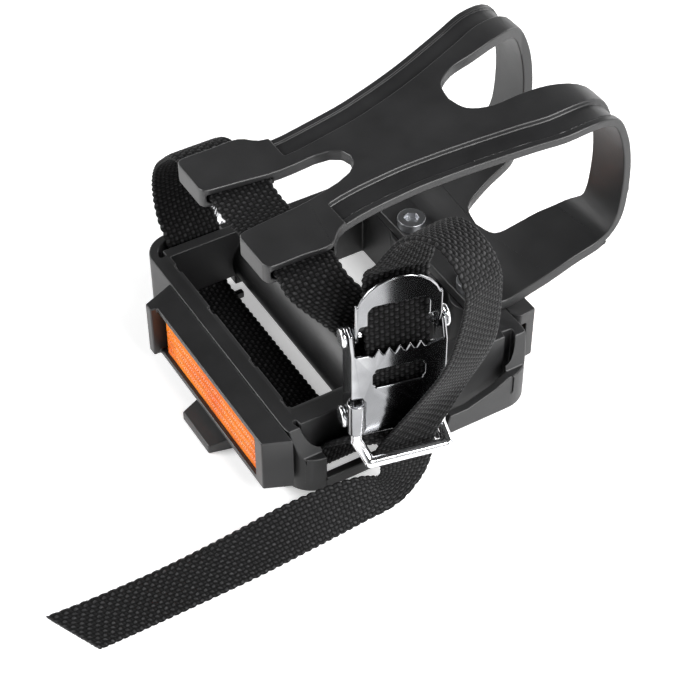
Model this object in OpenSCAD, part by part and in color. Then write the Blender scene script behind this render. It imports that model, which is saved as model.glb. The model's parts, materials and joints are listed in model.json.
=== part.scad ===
// Bicycle pedal with a toe clip, a webbing strap and a cam buckle.
// X runs outboard along the spindle, Y runs towards the toe, Z is up.
// The origin is on the spindle's axis, at the shoulder that meets the crank.
// Lengths are in millimetres.

/* [Body] */
// Crank-side face of the body, measured from the spindle's shoulder
body_in = 8; // [7:0.5:14]
// Length of the body along the spindle
body_len = 96; // [94:0.5:104]
// Distance from the spindle to the rear face of the rear rail
rear_reach = 38; // [36:0.5:44]
// Distance from the spindle to the front face of the front rail
front_reach = 40; // [39:0.5:46]
// Height of the body
body_h = 25; // [24:0.5:30]
// Thickness of the rear rail
rear_rail_t = 5.6; // [4:0.2:7]
// Thickness of the front rail
front_rail_t = 7.6; // [7:0.2:8.4]
// Thickness of the outer walls that guard the strap
guard_t = 2.6; // [2:0.1:3.2]
// Height of the low guards above the body's underside
guard_h = 10.5; // [8:0.5:11]
// How far the end walls stop short of the underside
end_lift = 3.5; // [0:0.5:4]
// Width of the strap slot on the crank side
slot_w = 3.8; // [3:0.1:4.4]
// Width of the strap channel on the outboard side
channel_w = 4.4; // [3.6:0.1:5.4]
// Thickness of the bar between slot and window
bar_t = 3.6; // [2.6:0.1:4.4]
// Width of the deck strip beside the channel
deck_w = 7; // [5:0.5:9]
// Outside radius of the body's corners
corner_r = 9; // [6:0.5:11]
// Outside diameter of the barrel
barrel_d = 24; // [23:0.5:25]
// Bore of the barrel
barrel_bore = 19; // [19:0.1:20]
// Depth of the notches along the rails
notch_d = 0.9; // [0.4:0.1:1.4]

/* [Kicker tab] */
// Width of the tab at its root
tab_root_w = 22; // [18:0.5:26]
// Width of the tab at its tip
tab_tip_w = 16; // [10:0.5:17]
// Length of the tab from the rear face
tab_len = 12; // [9:0.5:14]
// Thickness of the tab at its tip
tab_tip_t = 3; // [2:0.2:4]
// Thickness of the tab at its root
tab_root_t = 6; // [4.4:0.2:6.4]

/* [Reflectors] */
// Length of a reflector housing where it meets the rail
house_len = 73; // [66:0.5:76]
// Depth of the rear housing, away from the rail
house_d = 10.1; // [8.4:0.1:11]
// Depth of the front housing, away from the rail
front_house_d = 7.3; // [6.4:0.1:8]
// Gap between the kicker tab and the housing above it
tab_gap = 1; // [0.4:0.1:2]
// How much each end of the rear housing leans in
house_lean = 4.3; // [0:0.1:5]
// How much each end of the front housing leans in
front_lean = 0.8; // [0:0.1:3]
// Radius of the front housing's corner beside the guard
front_house_r = 4; // [2:0.1:4.4]
// Wall of a housing
house_wall = 1.6; // [1.2:0.1:2]
// Width of the bezel at a housing's ends
bezel_w = 3.2; // [2.4:0.1:4]
// Step between the long cheek and the rest of the bezel
cheek_step = 2.1; // [0.6:0.1:2.4]
// Thickness of a reflector lens
lens_t = 2.4; // [1.6:0.1:2.8]
// Gap between the lens and the long cheek
lens_gap = 2.6; // [1:0.1:4]

/* [Toe clip] */
// Thickness of the toe clip's sheet
clip_t = 3.4; // [3:0.1:3.6]
// Half width of the base plate at the pedal
clip_base_half = 27.5; // [25:0.5:29]
// Sideways shift of the clip's nose and base, towards the crank
clip_skew = 2.5; // [0:0.5:3]
// Half width across the nose
clip_nose_half = 32; // [30:0.5:34]
// Half width at the waist of the arms
clip_waist_half = 20.7; // [19.5:0.1:23]
// Half width over the strap tunnels
clip_loop_half = 25.6; // [25:0.2:28]
// Half width between the strap tunnels
clip_loop_in = 9.6; // [8:0.2:11]
// Height of the arms' rear ends above the spindle
clip_rear_h = 62.4; // [60:0.5:66]
// Height of the top of the nose above the spindle
clip_nose_h = 74; // [71:0.5:78]
// Reach of the nose in front of the spindle
clip_reach = 78; // [75:0.2:82]
// Length of a strap tunnel along the arm
tunnel_len = 20.4; // [20.4:0.1:21.6]
// Clear height of a strap tunnel
tunnel_h = 2.4; // [2.4:0.1:3]
// Thickness of the sheet over a strap tunnel
tunnel_roof = 2; // [1.6:0.1:2.4]
// Floor and end walls of a strap tunnel
tunnel_wall = 1.6; // [1.4:0.1:1.8]
// Depth of the groove along each band
groove_t = 1.5; // [0.8:0.1:1.7]
// How far the rim lies below the web
rim_drop = 0.9; // [0.4:0.1:1.2]
// Width of the rim beside the groove
rim_w = 2.2; // [1.6:0.1:3]
// Distance from the sheet's edge to the groove's inner side
groove_in = 8.8; // [7:0.1:9.4]

/* [Bolts] */
// Shank diameter of the toe clip's bolts
bolt_d = 5; // [4:0.5:5]
// Distance between the two bolts
bolt_gap = 32; // [26:0.5:36]
// Head diameter of the bolts
bolt_head_d = 8.5; // [8:0.1:9.4]
// Head height of the bolts
bolt_head_h = 2.8; // [2:0.1:3.4]
// Width across the corners of the nuts
nut_d = 8.4; // [7.4:0.1:8.5]
// Thickness of the nuts
nut_t = 4; // [3:0.1:4.4]
// Thickness of the plate washers
washer_t = 1; // [0.6:0.1:1.2]

/* [Spindle] */
// Outside diameter of the spindle's thread
thread_d = 14.28; // [12.7:0.01:14.3]
// Length of the spindle's thread
thread_len = 13.5; // [11:0.5:15]
// Diameter of the spindle's flange
flange_d = 17.6; // [17:0.1:18]
// Thickness of the flange
flange_t = 2.6; // [2:0.1:3]
// Width across the wrench flats
flat_af = 15; // [14:0.1:15]
// Diameter of the neck under the seal
neck_d = 13.6; // [13:0.1:13.8]
// Diameter of the shaft between the bearings
shaft_d = 9.2; // [8.6:0.1:9.2]
// Diameter of the outer thread that carries cone and nut
tail_d = 8; // [7:0.1:8]

/* [Bearings] */
// Diameter of the bearing balls
ball_d = 3.97; // [3.9:0.01:4]
// Balls in each row
ball_count = 10; // [7:1:10]
// Diameter of the circle through the balls' centres
ball_circle = 13.4; // [13.4:0.1:13.8]
// Running clearance round the balls
ball_play = 0.06; // [0.05:0.01:0.09]
// Height across the flats of the lock nut
lock_af = 12; // [11:0.5:12.5]

/* [Strap] */
// Width of the webbing
strap_w = 18; // [17:0.1:18.2]
// Thickness of the webbing
strap_t = 1.5; // [1.2:0.1:1.6]

/* [Buckle] */
// Distance between the outer faces of the buckle's cheeks
cheek_w = 26; // [26:0.1:27]
// Thickness of the buckle's sheet
buckle_t = 1.2; // [1:0.1:1.4]
// Distance between the buckle's two pins
pin_gap = 29; // [28:0.5:30]
// Diameter of the pins
pin_d = 2.8; // [2.4:0.1:3]
// Diameter of the pins' heads
pin_head_d = 6; // [5.4:0.1:6]
// Height of the finger arch above the upper pin
arch_h = 20.5; // [18:0.5:22]
// How far the buckle is turned to face the rear, in degrees
buckle_turn = 13; // [0:1:13]
// Teeth that grip the strap
tooth_count = 5; // [3:1:6]
// Height of the teeth
tooth_h = 2.6; // [1.6:0.1:3]
// Wire diameter of the bail
bail_d = 3.2; // [2.6:0.1:3.4]

/* [Hidden] */

resin = [0.07, 0.07, 0.07];
amber = [0.95, 0.4, 0.05];
chrome = [0.8, 0.81, 0.83];
steel = [0.6, 0.6, 0.62];
nylon = [0.04, 0.04, 0.04];

$fn = 64;
eps = 0.01;
fit_gap = 0.1;
seat_gap = 0.05;

// Body
body_out = body_in + body_len;
top_z = body_h / 2;
bot_z = -body_h / 2;
rear_in = -rear_reach + rear_rail_t;
front_in = front_reach - front_rail_t;
slot_x = body_in + guard_t;
bar_x = slot_x + slot_w;
window_x0 = bar_x + bar_t;
channel_x1 = body_out - guard_t;
deck_x1 = channel_x1 - channel_w;
deck_x0 = deck_x1 - deck_w;
barrel_r = barrel_d / 2;
barrel_x1 = body_out - 2.5;
under_z = -5;
hook_y = 15.4;
guard_top = bot_z + guard_h;
corner_rear = -rear_reach + corner_r;
corner_fore = front_reach - corner_r;
cap_r = barrel_r - 1;
body_mid = 65;
front_mid = body_in + body_len / 2;

// Reflector housings
house_h = body_h - tab_root_t - tab_gap;
house_top = top_z;
house_bot = house_top - house_h;
house_half = house_len / 2;

// Toe clip
clip_mid = 61.5;
clip_seat = top_z;
clip_rear_y = -36.6;
clip_fore_y = front_reach - 10.5;
bolt_y = front_reach - 5.8;
nut_pocket_z = 4;

// Bearings
inner_x = 18;
outer_x = body_out - 14;
ball_r = ball_d / 2;
ball_path = ball_circle / 2;
race_r = ball_r + ball_play;
bore_r = barrel_bore / 2;
cup_r = bore_r - seat_gap;
spindle_end = outer_x + 11;

// Buckle
pin_x = body_out + 5.5;
low_z = 20;
high_z = low_z + pin_gap;
buckle_y = -12.2;
plate_x = pin_x + 4.2;
lever_x = pin_x + 2.9;
plate_half = cheek_w / 2 - buckle_t + 0.1;
lever_half = cheek_w / 2 - 2 * buckle_t - 0.15;
slot_half = 7;
bail_x = plate_x + 0.9;
bail_half = cheek_w / 2 - 1.3;
bail_reach = 5.4;
bail_z = low_z - 8.5;
ear_z = low_z - 1.2;
ear_h = 10.8;

function unit(v) = v / norm(v);
// One point of a smooth curve through the four points a, b, c and d, between b and c
function smooth(a, b, c, d, t) =
    0.5 * (2 * b + (c - a) * t + (2 * a - 5 * b + 4 * c - d) * t * t
        + (3 * b - a - 3 * c + d) * t * t * t);
function at(list, i) = list[max(0, min(len(list) - 1, i))];
// A smooth curve through all the points of a list, in steps between each two
function curve(pts, steps) = concat(
    [for (i = [0:len(pts) - 2], k = [0:steps - 1])
        smooth(at(pts, i - 1), pts[i], pts[i + 1], at(pts, i + 2), k / steps)],
    [pts[len(pts) - 1]]);

module tube_x(x0, x1, r) translate([x0, 0, 0]) rotate([0, 90, 0]) cylinder(r = r, h = x1 - x0);
module bar_y(x, z, y0, y1, r) translate([x, y0, z]) rotate([-90, 0, 0]) cylinder(r = r, h = y1 - y0);
module box(lo, hi) translate(lo) cube(hi - lo);
// Turns an outline drawn in Y and Z into a solid between two places along X
module side_extrude(x0, x1) translate([x0, 0, 0]) rotate([90, 0, 90]) linear_extrude(x1 - x0) children();

// A full-height block in plan, from a list of plan points
module plan(points, z0, z1) translate([0, 0, z0]) linear_extrude(z1 - z0) polygon(points);

// Plan of a quarter ring round the centre c, from angle a0 to a1
module quarter_wall(c, r, t, a0, z0, z1) translate([c[0], c[1], z0]) linear_extrude(z1 - z0)
    intersection() {
        difference() {
            circle(r);
            circle(r - t);
        }
        rotate(a0) square(r + 1);
    }

// Wall outside the strap's slot, with a rounded end, and its corner
module strap_guard() {
    box([body_in, corner_rear, bot_z + end_lift], [slot_x, -hook_y - guard_t / 2, top_z]);
    translate([body_in + guard_t / 2, -hook_y - guard_t / 2, bot_z + end_lift])
        cylinder(d = guard_t, h = body_h - end_lift);
    quarter_wall([body_in + corner_r, corner_rear], corner_r, guard_t + 0.1, 180, bot_z + end_lift, top_z);
}

// A low guard along one end, whose corner rises to the rail's height
module low_guard(x0, x1, y0, y1, rise) {
    box([x0, y0, bot_z + end_lift], [x1, y1, guard_top]);
    intersection() {
        box([x0, min(y0, y1) - 1, bot_z], [x1, max(y0, y1) + 1, top_z]);
        side_extrude(x0, x1) polygon([[y1 - 0.5, guard_top - 1], [y1 - rise * 16, guard_top - 1],
            [y1 - rise * 14, guard_top], [y1 - rise * 5, guard_top + 3], [y1 - 0.5 * rise, guard_top + 5.5],
            [y1 + rise, guard_top + 5.5], [y1 + rise, guard_top - 1]]);
    }
}

module low_corner(side) intersection() {
    quarter_wall([body_out - corner_r, side < 0 ? corner_rear : corner_fore], corner_r, guard_t + 0.7,
        side < 0 ? 270 : 0, bot_z + end_lift, top_z);
    rotate([90, 0, 0]) linear_extrude(2 * (front_reach + corner_r), center = true)
        polygon([[deck_x0, bot_z - 1], [body_out + 1, bot_z - 1], [body_out + 1, guard_top + 5.5],
            [body_out - guard_t, guard_top + 5.5], [body_out - corner_r + 3, top_z], [deck_x0, top_z]]);
}

module rail_notches(y, side) {
    for (x = [body_in + 14, 43, 68, deck_x0 - 4])
        box([x, side < 0 ? y - notch_d : y - eps, top_z - 1.2],
            [x + 3.4, side < 0 ? y + eps : y + notch_d, top_z + 1]);
}

module kicker_tab() {
    intersection() {
        plan([[body_mid - tab_root_w / 2, -rear_reach + 1], [body_mid - tab_root_w / 2, -rear_reach],
            [body_mid - tab_tip_w / 2, -rear_reach - tab_len],
            [body_mid + tab_tip_w / 2, -rear_reach - tab_len],
            [body_mid + tab_root_w / 2, -rear_reach], [body_mid + tab_root_w / 2, -rear_reach + 1]],
            bot_z - 1, top_z);
        side_extrude(body_mid - tab_root_w, body_mid + tab_root_w)
            polygon([[-rear_reach + 1, bot_z], [-rear_reach - tab_len, bot_z],
                [-rear_reach - tab_len, bot_z + tab_tip_t], [-rear_reach, bot_z + tab_root_t],
                [-rear_reach + 1, bot_z + tab_root_t]]);
    }
}

module pedal_body() color(resin)
difference() {
    union() {
        // Rails
        box([body_in + corner_r, -rear_reach, bot_z], [body_out - corner_r, rear_in, top_z]);
        box([body_in + corner_r, front_in, bot_z], [body_out - corner_r, front_reach, top_z]);
        // Barrel
        tube_x(body_in, barrel_x1, barrel_r);
        box([body_in, -hook_y + slot_w, bot_z + 4], [window_x0, hook_y - slot_w, top_z - 4]);
        // Bar beside the slot and deck strip beside the channel
        box([bar_x, rear_in - 1, under_z], [window_x0, front_in + 1, top_z]);
        box([deck_x0, rear_in - 1, under_z], [deck_x1, front_in + 1, top_z]);
        // Lower part of the deck strip in front of the barrel
        box([deck_x0, barrel_r - 3, bot_z + end_lift], [deck_x1, front_in + 1, under_z + 1]);
        strap_guard();
        low_guard(channel_x1, body_out, 0, corner_fore, 1);
        box([channel_x1, corner_rear - 0.5, bot_z + end_lift], [body_out, 1, guard_top - 3]);
        box([body_in, hook_y, bot_z + end_lift], [slot_x, corner_fore + 0.5, guard_top]);
        quarter_wall([body_in + corner_r, corner_fore], corner_r, guard_t + 0.1, 90,
            bot_z + end_lift, guard_top);
        for (side = [-1, 1]) low_corner(side);
        // Bosses for the toe clip's bolts
        for (x = [-bolt_gap / 2, bolt_gap / 2]) intersection() {
            translate([clip_mid + x, bolt_y, bot_z]) cylinder(d = bolt_head_d + 4, h = body_h);
            box([0, 0, bot_z - 1], [body_out, front_reach - 0.5, top_z + 1]);
        }
        // Webs that carry the rails from the barrel
        for (x = [window_x0 + 0.6, deck_x0 - 2.6])
            box([x, rear_in - 1, bot_z], [x + 2, -barrel_r + 2, under_z - 5]);
        for (x = [window_x0 + 0.6, body_mid - 1, deck_x0 - 2.6])
            box([x, barrel_r - 2, bot_z], [x + 2, front_in + 1, top_z - 3]);
        kicker_tab();
    }
    tube_x(body_in - 1, body_out + 1, bore_r);
    tube_x(barrel_x1, body_out + 1, cap_r + fit_gap);
    rail_notches(rear_in, -1);
    rail_notches(front_in, 1);
    // Holes for the toe clip's bolts, wider below for washer and nut
    for (x = [-bolt_gap / 2, bolt_gap / 2]) translate([clip_mid + x, bolt_y, bot_z - 1]) {
        cylinder(d = bolt_d + 2 * fit_gap, h = body_h + 2);
        cylinder(d = bolt_head_d + 0.6, h = nut_pocket_z - bot_z + 1);
    }
}

// A housing with its open face at -Y, and room for the lens inside
module reflector_housing(depth, lean) difference() {
    translate([0, 0, house_bot]) linear_extrude(house_h)
        polygon([[-house_half, 0], [-house_half + lean, -depth],
            [house_half - lean, -depth], [house_half, 0]]);
    box([-house_half + lean + bezel_w, -depth - 1, house_bot + house_wall],
        [house_half - lean - bezel_w, 1, house_top - house_wall]);
}

// A lens whose outer face lies at y0, with a gap at its -X end
module reflector_lens(y0, lean, gap) {
    x0 = -house_half + lean + bezel_w + gap;
    x1 = house_half - lean - bezel_w - fit_gap;
    box([x0, y0, house_bot + house_wall + fit_gap], [x1, y0 + lens_t, house_top - house_wall - fit_gap]);
}

module rear_place() translate([body_mid, -rear_reach, 0]) children();
module front_place() translate([front_mid, front_reach, 0]) rotate([0, 0, 180]) children();

module rear_reflector_housing() color(resin) rear_place() difference() {
    reflector_housing(house_d, house_lean);
    // Only the crank-side bezel stands out to the full depth
    box([-house_half + house_lean + bezel_w, -house_d - 1, house_bot - 1],
        [house_half, -house_d + cheek_step, house_top + 1]);
}

module front_reflector_housing() color(resin) front_place() difference() {
    reflector_housing(front_house_d, front_lean);
    // The outboard end turns round the guard, and is open behind its bezel
    translate([-house_half, -front_house_r, house_bot - 1]) linear_extrude(house_h + 2) difference() {
        translate([-1, 0]) square([front_house_r + 1, front_house_r + 1]);
        translate([front_house_r, 0]) circle(front_house_r);
    }
    box([-house_half - 1, -front_house_d + 3.2, house_bot + house_wall],
        [-house_half + bezel_w + 2, 1, house_top - 4]);
}

module rear_reflector_lens() color(amber) rear_place()
    reflector_lens(-house_d + cheek_step + 1.2, house_lean, lens_gap);
module front_reflector_lens() color(amber) front_place()
    reflector_lens(-front_house_d + 1.2, front_lean, fit_gap);

// Middle line of the toe clip's sheet, seen from the side, from base to arm ends
clip_half_t = clip_t / 2;
clip_line = curve([[clip_fore_y, clip_seat + clip_half_t], [front_reach, clip_seat + clip_half_t],
    [front_reach + 9, clip_seat + 6.2], [clip_reach - 18, clip_seat + 11.4],
    [clip_reach - 8, clip_seat + 14.8],
    [clip_reach - 3, clip_seat + 21], [clip_reach - clip_half_t, clip_seat + 31],
    [clip_reach - clip_half_t - 0.4, clip_seat + 41], [clip_reach - 4.2, clip_nose_h - 11],
    [clip_reach - 8.6, clip_nose_h - 3.6], [clip_reach - 17.5, clip_nose_h - clip_half_t],
    [clip_reach - 30, clip_nose_h - 3.3], [clip_reach - 45, clip_rear_h + 5.6], [15, clip_rear_h + 2.8],
    [0, clip_rear_h + 0.6], [-14, clip_rear_h - clip_half_t], [-26, clip_rear_h - clip_half_t],
    [clip_rear_y, clip_rear_h - clip_half_t]], 4);
function line_normal(line, i) = let (d = unit(at(line, i + 1) - at(line, i - 1))) [-d[1], d[0]];
// A band that follows the middle line between two distances from it
function band(line, near, far) = concat(
    [for (i = [0:len(line) - 1]) line[i] + line_normal(line, i) * near],
    [for (i = [len(line) - 1:-1:0]) line[i] + line_normal(line, i) * far]);

// Half width of the sheet in plan, from the arm ends to the nose
arm_edge = curve([[clip_rear_y - 1, clip_loop_half - 2.6], [clip_rear_y, clip_loop_half - 2.4],
    [clip_rear_y + 0.7, clip_loop_half - 0.7], [clip_rear_y + 2.6, clip_loop_half],
    [clip_rear_y + 11, clip_loop_half],
    [clip_rear_y + tunnel_len - 1, clip_loop_half], [clip_rear_y + tunnel_len + 6, clip_waist_half],
    [8, clip_waist_half], [20, clip_waist_half + 1.5], [32, clip_nose_half - 7.4], [44, clip_nose_half - 4.3],
    [56, clip_nose_half - 1], [68, clip_nose_half], [80, clip_nose_half], [92, clip_nose_half]], 4);
base_edge = curve([[16, clip_base_half], [28, clip_base_half], [40, clip_base_half + 1],
    [52, clip_nose_half - 1], [64, clip_nose_half], [76, clip_nose_half], [88, clip_nose_half]], 4);
// Half width of the opening that runs over the nose
mouth_top = concat(curve([[36.4, 0], [38, 6.2], [43.5, 10], [52, 11.2], [62, 13.4], [73, 17]], 4),
    [[90, 17]]);
mouth_base = concat(curve([[48.2, 0], [50, 7], [56, 9.4], [64, 11], [70, 13], [73, 17]], 4), [[90, 17]]);
// Half width of the notch between the arms
notch_edge = [[clip_rear_y - 5, clip_loop_in + 2.2], [clip_rear_y, clip_loop_in + 2.2],
    [clip_rear_y + 0.7, clip_loop_in + 0.6], [clip_rear_y + 2.4, clip_loop_in],
    [clip_rear_y + tunnel_len, clip_loop_in - 2],
    [-4, 6.4], [0, 5.2], [2.6, 3], [3.4, 0]];

// How far the sheet's middle leans towards the crank, from the arms to the nose
function lean(y, base) = base ? clip_skew : clip_skew * max(0, min(1, (y - 52) / 20));
// Plan outline from a list of [y, half width]
function mirrored(edge, base = false) = concat([for (p = edge) [p[1] - lean(p[0], base), p[0]]],
    [for (i = [len(edge) - 1:-1:0]) if (edge[i][1] > 0) [-edge[i][1] - lean(edge[i][0], base), edge[i][0]]]);
// Plan strip at a distance from the edge of the sheet
function strip(edge, side, near, far, base = false) = concat(
    [for (p = edge) [side * (p[1] - near) - lean(p[0], base), p[0]]],
    [for (i = [len(edge) - 1:-1:0]) [side * (edge[i][1] - far) - lean(edge[i][0], base), edge[i][0]]]);

module clip_sheet(near, far) side_extrude(-clip_nose_half - 4, clip_nose_half + 4)
    polygon(band(clip_line, near, far));

mid_z = (clip_seat + clip_nose_h) / 2;

// A strip of each band's outer surface, to a depth, from near to far inside its edge
module clip_strip(near, far, deep) intersection() {
    clip_sheet(-clip_half_t - 3, -clip_half_t + deep);
    for (side = [-1, 1]) {
        plan(strip([for (p = arm_edge) if (p[0] > clip_rear_y + tunnel_len + 5) p],
            side, near, far), mid_z, 90);
        plan(strip([for (p = base_edge) if (p[0] > 60) p], side, near, far, true),
            clip_seat + 14, mid_z);
    }
}

tunnel_y1 = clip_rear_y + tunnel_len + tunnel_wall;
tunnel_top = clip_rear_h - tunnel_roof;

// Material round a strap tunnel, under the arm's sheet
module tunnel_block() intersection() {
    plan([[clip_loop_in + 2.2, clip_rear_y], [clip_loop_half, clip_rear_y], [clip_loop_half, tunnel_y1],
        [clip_loop_in, tunnel_y1], [clip_loop_in, clip_rear_y + 2.4],
        [clip_loop_in + 0.6, clip_rear_y + 0.7]],
        tunnel_top - tunnel_h - tunnel_wall, clip_rear_h - clip_half_t);
    plan(mirrored(arm_edge), 0, 90);
}

module tunnel_opening() box([clip_loop_in - 4, clip_rear_y + tunnel_wall, tunnel_top - tunnel_h],
    [clip_loop_half + 1, tunnel_y1 - tunnel_wall, tunnel_top]);

module toe_clip() color(resin) translate([clip_mid, 0, 0])
difference() {
    union() {
        difference() {
            intersection() {
                clip_sheet(-clip_half_t, clip_half_t);
                union() {
                    plan(mirrored(arm_edge), mid_z, 90);
                    plan(mirrored(base_edge, true), 0, mid_z);
                }
            }
            plan(mirrored(mouth_top, true), mid_z, 90);
            plan(mirrored(mouth_base, true), 0, mid_z);
            plan(mirrored(notch_edge), mid_z, 90);
            clip_strip(-2, rim_w, rim_drop);
            clip_strip(rim_w, groove_in, groove_t);
        }
        // Flat foot on the front rail
        intersection() {
            box([-clip_nose_half, clip_fore_y, clip_seat], [clip_nose_half, front_reach, clip_seat + clip_t]);
            plan(mirrored(base_edge, true), 0, mid_z);
        }
        for (s = [0, 1]) mirror([s, 0, 0]) tunnel_block();
    }
    for (s = [0, 1]) mirror([s, 0, 0]) tunnel_opening();
    for (x = [-bolt_gap / 2, bolt_gap / 2])
        translate([x, bolt_y, 0]) cylinder(d = bolt_d + 2 * fit_gap, h = clip_seat + clip_t + 2);
    box([-clip_nose_half - 4, 0, 0], [clip_nose_half + 4, front_reach + 4, clip_seat]);
}

module at_bolts() for (x = [-bolt_gap / 2, bolt_gap / 2]) translate([clip_mid + x, bolt_y, 0]) children();

module clip_bolts() color(steel) at_bolts() {
    translate([0, 0, clip_seat + clip_t]) difference() {
        cylinder(d = bolt_head_d, h = bolt_head_h);
        translate([0, 0, bolt_head_h - 1.6]) cylinder(d = 4.6, h = 2, $fn = 6);
    }
    translate([0, 0, nut_pocket_z - washer_t - nut_t - 1])
        cylinder(d = bolt_d, h = clip_seat + clip_t - nut_pocket_z + washer_t + nut_t + 1.1);
}

module clip_washers() color(steel) at_bolts() translate([0, 0, nut_pocket_z - washer_t]) difference() {
    cylinder(d = bolt_head_d, h = washer_t);
    translate([0, 0, -1]) cylinder(d = bolt_d + 2 * fit_gap, h = washer_t + 2);
}

module clip_nuts() color(steel) at_bolts() translate([0, 0, nut_pocket_z - washer_t - nut_t]) difference() {
    cylinder(d = nut_d, h = nut_t, $fn = 6);
    translate([0, 0, -1]) cylinder(d = bolt_d + 2 * seat_gap, h = nut_t + 2);
}

// A turned piece from its profile in X and radius
module turned_x(points) rotate([0, 90, 0]) rotate_extrude() polygon([for (p = points) [p[1], p[0]]]);

module spindle() color(steel) {
    difference() {
        rotate([0, 90, 0]) rotate_extrude() difference() {
            polygon([for (p = [[-thread_len, 0], [-thread_len, thread_d / 2 - 1],
                [-thread_len + 1, thread_d / 2], [0, thread_d / 2], [0, flange_d / 2],
                [body_in, flange_d / 2], [body_in, neck_d / 2], [inner_x + 0.6, neck_d / 2],
                [inner_x + 0.6, shaft_d / 2], [outer_x - 8, shaft_d / 2], [outer_x - 7, tail_d / 2],
                [spindle_end - 0.6, tail_d / 2], [spindle_end, tail_d / 2 - 0.6],
                [spindle_end, 0]]) [p[1], p[0]]]);
            translate([ball_path, inner_x]) circle(race_r);
        }
        for (s = [-1, 1]) translate([flange_t, s > 0 ? flat_af / 2 : -flat_af / 2 - 4, -10])
            cube([body_in - flange_t - 0.6, 4, 20]);
    }
}

module spindle_seal() color([0.03, 0.03, 0.03]) turned_x([[body_in + 1, neck_d / 2 + fit_gap],
    [body_in + 1, cup_r], [body_in + 3.2, cup_r], [body_in + 3.2, neck_d / 2 + fit_gap]]);

// A pressed bearing cup whose open side faces the crank
module cup() rotate([0, 90, 0]) rotate_extrude() difference() {
    polygon([[neck_d / 2 + 0.3, -3.4], [cup_r, -3.4], [cup_r, 3.2], [shaft_d / 2 + 0.5, 3.2],
        [shaft_d / 2 + 0.5, 2.2], [neck_d / 2 + 0.3, 0.4]]);
    circle_place() circle(race_r);
}
module circle_place() translate([ball_path, 0]) children();

module balls() for (i = [0:ball_count - 1]) rotate([i * 360 / ball_count, 0, 0])
    translate([0, 0, ball_path]) sphere(r = ball_r, $fn = 32);

module inner_cup() color(steel) translate([inner_x, 0, 0]) cup();
module inner_balls() color(chrome) translate([inner_x, 0, 0]) balls();
module outer_cup() color(steel) translate([outer_x, 0, 0]) mirror([1, 0, 0]) cup();
module outer_balls() color(chrome) translate([outer_x, 0, 0]) balls();

module outer_cone() color(steel) translate([outer_x, 0, 0]) rotate([0, 90, 0]) rotate_extrude() difference() {
    polygon([[tail_d / 2 + seat_gap, -1.2], [shaft_d / 2, -1.2], [neck_d / 2 - 0.2, 0.6],
        [neck_d / 2 - 0.2, 4.6], [tail_d / 2 + seat_gap, 4.6]]);
    circle_place() circle(race_r);
}

module keyed_washer() color(steel) translate([outer_x + 4.6, 0, 0]) rotate([0, 90, 0]) difference() {
    cylinder(d = lock_af, h = washer_t);
    translate([0, 0, -1]) cylinder(d = tail_d + 2 * seat_gap, h = washer_t + 2);
}

module lock_nut() color(steel) translate([outer_x + 4.6 + washer_t, 0, 0]) rotate([0, 90, 0]) difference() {
    cylinder(d = lock_af / cos(30), h = 4, $fn = 6);
    translate([0, 0, -1]) cylinder(d = tail_d + 2 * seat_gap, h = 6);
}

module dust_cap() color(resin) turned_x([[barrel_x1 - 0.4, 0], [barrel_x1 - 0.4, bore_r - 1.6],
    [barrel_x1 - 4, bore_r - 1.6], [barrel_x1 - 4, cup_r], [barrel_x1, cup_r], [barrel_x1, cap_r],
    [barrel_x1 + 1, cap_r], [barrel_x1 + 1.6, cap_r - 1.2], [barrel_x1 + 1.6, 0]]);

// Strap, as two edges that run side by side from its sewn end to its cut end
half_w = strap_w / 2;
slot_y = rear_in + half_w + 1.4;
tunnel_y = clip_rear_y + (tunnel_wall + tunnel_len) / 2;
tunnel_z = clip_rear_h - tunnel_roof - tunnel_h / 2;
floor_z = bot_z + strap_t / 2 + 0.02;
edge_z = bot_z + 0.4;
guard_x = (slot_x + bar_x) / 2;
channel_x = (deck_x1 + channel_x1) / 2;
function pair(x, y, z) = [[x, y - half_w, z], [x, y + half_w, z]];
// Across the strap where it lies in the turned buckle
turn = [sin(buckle_turn), cos(buckle_turn)];
function turned(dx, z, dy = 0) =
    let (c = [pin_x + dx * turn[1] + dy * turn[0], buckle_y - dx * turn[0] + dy * turn[1]])
    [[c[0] - half_w * turn[0], c[1] - half_w * turn[1], z],
        [c[0] + half_w * turn[0], c[1] + half_w * turn[1], z]];
// The same two edges, measured from the buckle's pins along X
function beside(a, b) = [[pin_x + a[0], a[1], a[2]], [pin_x + b[0], b[1], b[2]]];
strap_sewn = [turned(0.4, low_z - 2.9), turned(-1.7, low_z - 2.1), turned(-2.5, low_z + 0.4),
    turned(-3.1, low_z + 9), turned(-3.8, low_z + 17, -0.8)];
strap_top = [beside([-7.3, -25.8, 46.6], [-4.1, -8.2, 46.6]), pair(clip_mid + 34.5, tunnel_y, tunnel_z - 2),
    pair(clip_mid + 25.5, tunnel_y, tunnel_z), pair(clip_mid + 10.5, tunnel_y, tunnel_z),
    pair(clip_mid, tunnel_y, tunnel_z - 1.4), pair(clip_mid - 10.5, tunnel_y, tunnel_z),
    pair(clip_mid - 25.5, tunnel_y, tunnel_z), pair(body_in + 20, tunnel_y - 0.2, tunnel_z - 2.2)];
strap_fall = [pair(body_in + 10.8, -24.4, 49), pair(body_in + 3.6, -23.4, 41.4),
    pair(body_in - 1.2, -22.6, 32.6), pair(body_in - 2.7, slot_y, 24),
    pair(body_in - 0.8, slot_y, top_z + 5.2), pair(guard_x - 2, slot_y, top_z + 1.9),
    pair(guard_x + 0.1, slot_y, top_z - 1.2), pair(guard_x + 0.4, slot_y, 5),
    pair(guard_x + 0.3, slot_y, -1)];
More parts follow.
